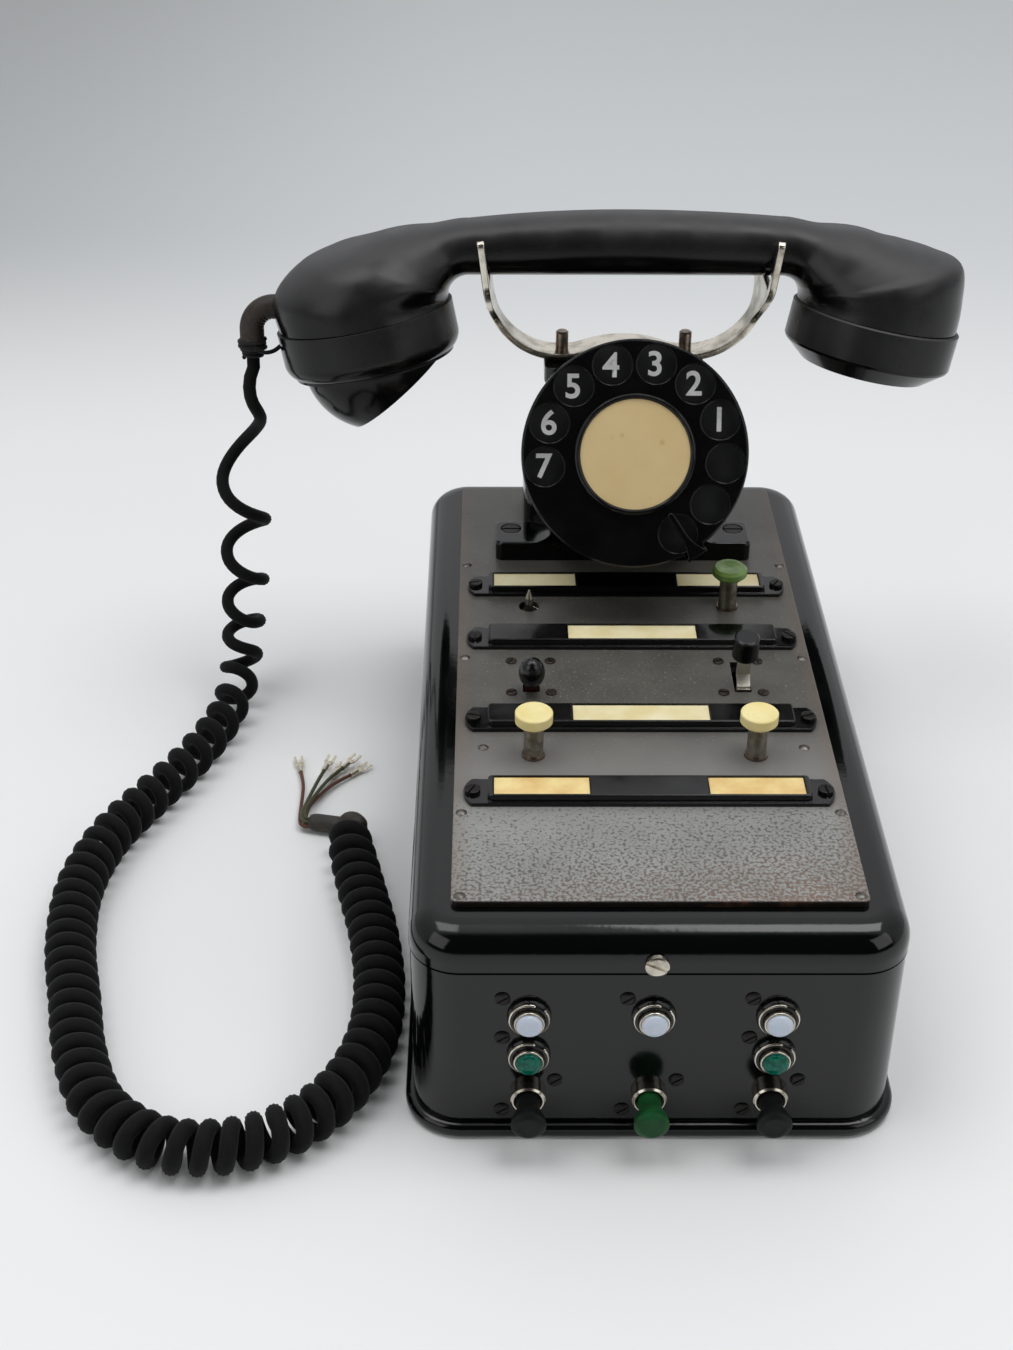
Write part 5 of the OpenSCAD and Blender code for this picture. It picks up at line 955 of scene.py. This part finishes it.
# %% Cards
CARD_FRONT_Y = -0.055
card, tree, shader, where = finish("aged_card", Roughness=0.35, IOR=1.5)
place = add(tree, "SeparateXYZ", {"Vector": where})
front = add(tree, "Math", {0: place.outputs["Y"], 1: CARD_FRONT_Y}, operation="LESS_THAN")
cloud = add(tree, "TexNoise", {"Vector": where, "Scale": per_mm(9), "Detail": 4.0})
spread = add(tree, "MapRange", {"Value": cloud, "From Min": 0.35, "From Max": 0.65})
cream = add(tree, "Mix", {"Factor": spread, "A": "#efe6bf", "B": "#e3d5a0"}, data_type="RGBA")
orange = add(tree, "Mix", {"Factor": spread, "A": "#f0da98", "B": "#deb978"}, data_type="RGBA")
colour = add(tree, "Mix", {"Factor": front, "A": cream, "B": orange}, data_type="RGBA")
join(shader, {"Base Color": colour})
dress(card, "label_cards")
print("cards:", card.name)

# %% [markdown]
# The dial's disc
#
# A disc of yellowed celluloid closes the middle of the dial. Damp has left a few brown spots on it. Each
# spot is a soft round patch, placed in the dial's own plane by undoing the dial's tilt.

# %% Celluloid disc
SPOT_CORE = 0.0002
disc_spots = [(-4.4, 6.1, 1.5, 0.6), (8.6, 3.9, 1.7, 0.6), (5.0, -14.0, 1.3, 0.3), (-7.5, 5.6, 1.6, 0.2)]
disc, tree, shader, where = finish("yellowed_celluloid", Roughness=0.38, IOR=1.5)
on_dial = add(tree, "Mapping", {"Vector": where, "Location": (0, DIAL_Y * MM, DIAL_Z * MM),
                                "Rotation": (math.pi / 2 - DIAL_TILT, 0, 0)}, vector_type="TEXTURE")
cloud = add(tree, "TexNoise", {"Vector": where, "Scale": per_mm(11), "Detail": 4.0})
stained = add(tree, "Mix", {"Factor": cloud, "A": "#e2cb9a", "B": "#d6bb85"}, data_type="RGBA")
for x, y, size, depth in disc_spots:
    away = add(tree, "VectorMath", {0: on_dial, 1: (x * MM, y * MM, 0)}, operation="DISTANCE")
    spot = add(tree, "MapRange", {"Value": away, "From Min": size * MM, "From Max": SPOT_CORE,
                                  "To Max": depth}, interpolation_type="SMOOTHSTEP")
    stained = add(tree, "Mix", {"Factor": spot, "A": stained, "B": "#8a6a3c"}, data_type="RGBA")
join(shader, {"Base Color": stained})
dress(disc, "dial_disc")
print("disc:", disc.name, "with", len(disc_spots), "spots")

# %% [markdown]
# Lamp glass
#
# The white lamps have milky opal lenses, slightly blue. The green ones are pressed glass with a pebbled
# back that shows through as a lively mottle. Both have a clear, sharp surface.

# %% Lenses and bulbs
mottled("opal_glass", white_lenses, ("#c3d0e3", "#dde5ee"), 4.0, detail=2.0, Roughness=0.07, IOR=1.5,
        Subsurface_Weight=0.5, Subsurface_Scale=0.002)
mottled("bulb_glass", ["lamp_bulbs"], ("#f4efdc", "#e3d9b8"), 3.0, detail=2.0, Roughness=0.05, IOR=1.5,
        Transmission_Weight=0.7)
green_glass, tree, shader, where = finish("green_pressed_glass", Roughness=0.06, IOR=1.52,
                                          Subsurface_Weight=0.2, Subsurface_Scale=0.002,
                                          Specular_IOR_Level=0.25)
pebble = add(tree, "TexVoronoi", {"Vector": where, "Scale": per_mm(1.1)})
colour = add(tree, "Mix", {"Factor": pebble, "A": "#067760", "B": "#024336"}, data_type="RGBA")
join(shader, {"Base Color": colour})
dress(green_glass, *green_lenses)
print("glass:", len(white_lenses), "opal,", len(green_lenses), "green")

# %% [markdown]
# Cotton and rubber
#
# The cord's cover is black cotton, dry and dusty on its ribs, so it scatters light and never shines. The
# rubber of the sleeves has hardened and browned. The wires are covered in brown and olive thread.

# %% Soft finishes
softs = {
    "black_cotton": ("#030304", "#0b0c0d", 2.0, 0.85, 0.04, [cord]),
    "black_thread": ("#0a0a0b", "#1a1a1b", 1.0, 0.7, 0.08, [thread, strand]),
    "brown_rubber": ("#2c2622", "#443d38", 6.0, 0.5, 0.0, [sleeve]),
    "grey_rubber": ("#37342f", "#4c4843", 3.0, 0.6, 0.0, [end_sleeve]),
    "brown_braid": ("#4f2f22", "#6e4938", 0.8, 0.8, 0.2, wires[0::2]),
    "olive_braid": ("#383a26", "#57583c", 0.8, 0.8, 0.2, wires[1::2]),
}
for name, (deep, dust_and_sheen, patch, rough, fuzz, pieces) in softs.items():
    tree, shader, where = mottled(name, pieces, (deep, dust_and_sheen), patch, spread=(0.4, 0.75), detail=6.0,
                                  crisp=0.7, Roughness=rough, IOR=1.45, Sheen_Weight=fuzz,
                                  Sheen_Roughness=0.5, Specular_IOR_Level=0.3)
    fibre = add(tree, "TexNoise", {"Vector": where, "Scale": per_mm(0.5), "Detail": 2.0})
    relief = add(tree, "Bump", {"Height": fibre, "Strength": 0.3, "Distance": 0.0002})
    join(shader, {"Normal": relief})
print("soft finishes:", list(softs))

# %% [markdown]
# Floor and light
#
# The set stands on a pale sweep of paper. Its colour is painted greyer towards the back and, at the
# back, towards the left: a painted shade where the light falls off. The room behind is bright and the room
# in front, where the photographer stands, is dark. Black gloss shows this well: flat tops mirror the
# bright side, while the dial and the rolled front edge mirror the dark one. Two softboxes hang overhead,
# the right one stronger, and two at the front corners fill the shadows.

# %% Floor
FLOOR_REACH, SHADE_FROM, SHADE_TO, LEFT_SHADE = 20.0, 0.27, 0.62, -0.5
sheet = bpy.data.meshes.new("floor")
sheet.from_pydata([(x * FLOOR_REACH, y * FLOOR_REACH, 0) for x, y in ((-1, -1), (1, -1), (1, 1), (-1, 1))],
                  [], [(0, 1, 2, 3)])
floor = placed("floor", sheet)
paper, tree, shader, where = finish("pale_paper", Roughness=0.6)
ground = add(tree, "SeparateXYZ", {"Vector": where})
# Painted shade: the floor's colour darkens towards the back, and more so on the left.
back = add(tree, "MapRange", {"Value": ground.outputs["Y"], "From Min": SHADE_FROM, "From Max": SHADE_TO},
           interpolation_type="SMOOTHSTEP")
across = add(tree, "MapRange", {"Value": ground.outputs["X"], "From Min": LEFT_SHADE, "From Max": 0.0},
             interpolation_type="SMOOTHSTEP")
shade = add(tree, "Mix", {"Factor": across, "A": "#b2b5b5", "B": "#d4d7d8"}, data_type="RGBA")
colour = add(tree, "Mix", {"Factor": back, "A": "#ebecec", "B": shade}, data_type="RGBA")
join(shader, {"Base Color": colour})
sheet.materials.append(paper)
print("floor:", 2 * FLOOR_REACH, "m wide")

# %% World and lamps
DARK_SIDE, BRIGHT_SIDE, SIDE_LOSS = 0.03, 0.85, 0.55
world = bpy.data.worlds.new("studio")
bpy.context.scene.world = world
world.use_nodes = True
tree = world.node_tree
sky = add(tree, "TexCoord")
toward = add(tree, "SeparateXYZ", {"Vector": sky.outputs["Generated"]})
room = add(tree, "MapRange", {"Value": toward.outputs["Y"], "From Min": -0.42, "From Max": -0.12,
                              "To Min": DARK_SIDE, "To Max": BRIGHT_SIDE}, interpolation_type="SMOOTHSTEP")
sideways = add(tree, "Math", {0: toward.outputs["X"]}, operation="ABSOLUTE")
dimmer = add(tree, "MapRange", {"Value": sideways, "From Min": 0.2, "From Max": 0.9, "To Min": 1.0,
                                "To Max": SIDE_LOSS})
light = add(tree, "Math", {0: room, 1: dimmer}, operation="MULTIPLY")
join(tree.nodes["Background"], {"Strength": light, "Color": "#fbfcff"})
softboxes = {"ceiling": ((0.5, 0.0, 1.5), (0.2, -0.05, 0.0), 0.7, 0.8, 7.5),
             "second": ((-0.55, 0.0, 1.5), (-0.2, -0.05, 0.0), 0.7, 0.8, 5.0),
             "left": ((-1.1, -0.9, 0.8), (0.0, 0.0, 0.1), 1.0, 1.0, 4.0),
             "right": ((1.1, -0.9, 0.8), (0.0, 0.0, 0.1), 1.0, 1.0, 4.0)}
for name, (stand, target, width, tall, power) in softboxes.items():
    lamp = bpy.data.lights.new(name, "AREA")
    lamp.shape, lamp.size, lamp.size_y, lamp.energy = "RECTANGLE", width, tall, power
    holder = placed(name, lamp)
    holder.location = stand
    holder.rotation_euler = (Vector(target) - Vector(stand)).to_track_quat("-Z", "Y").to_euler()
print("lamps:", list(softboxes))
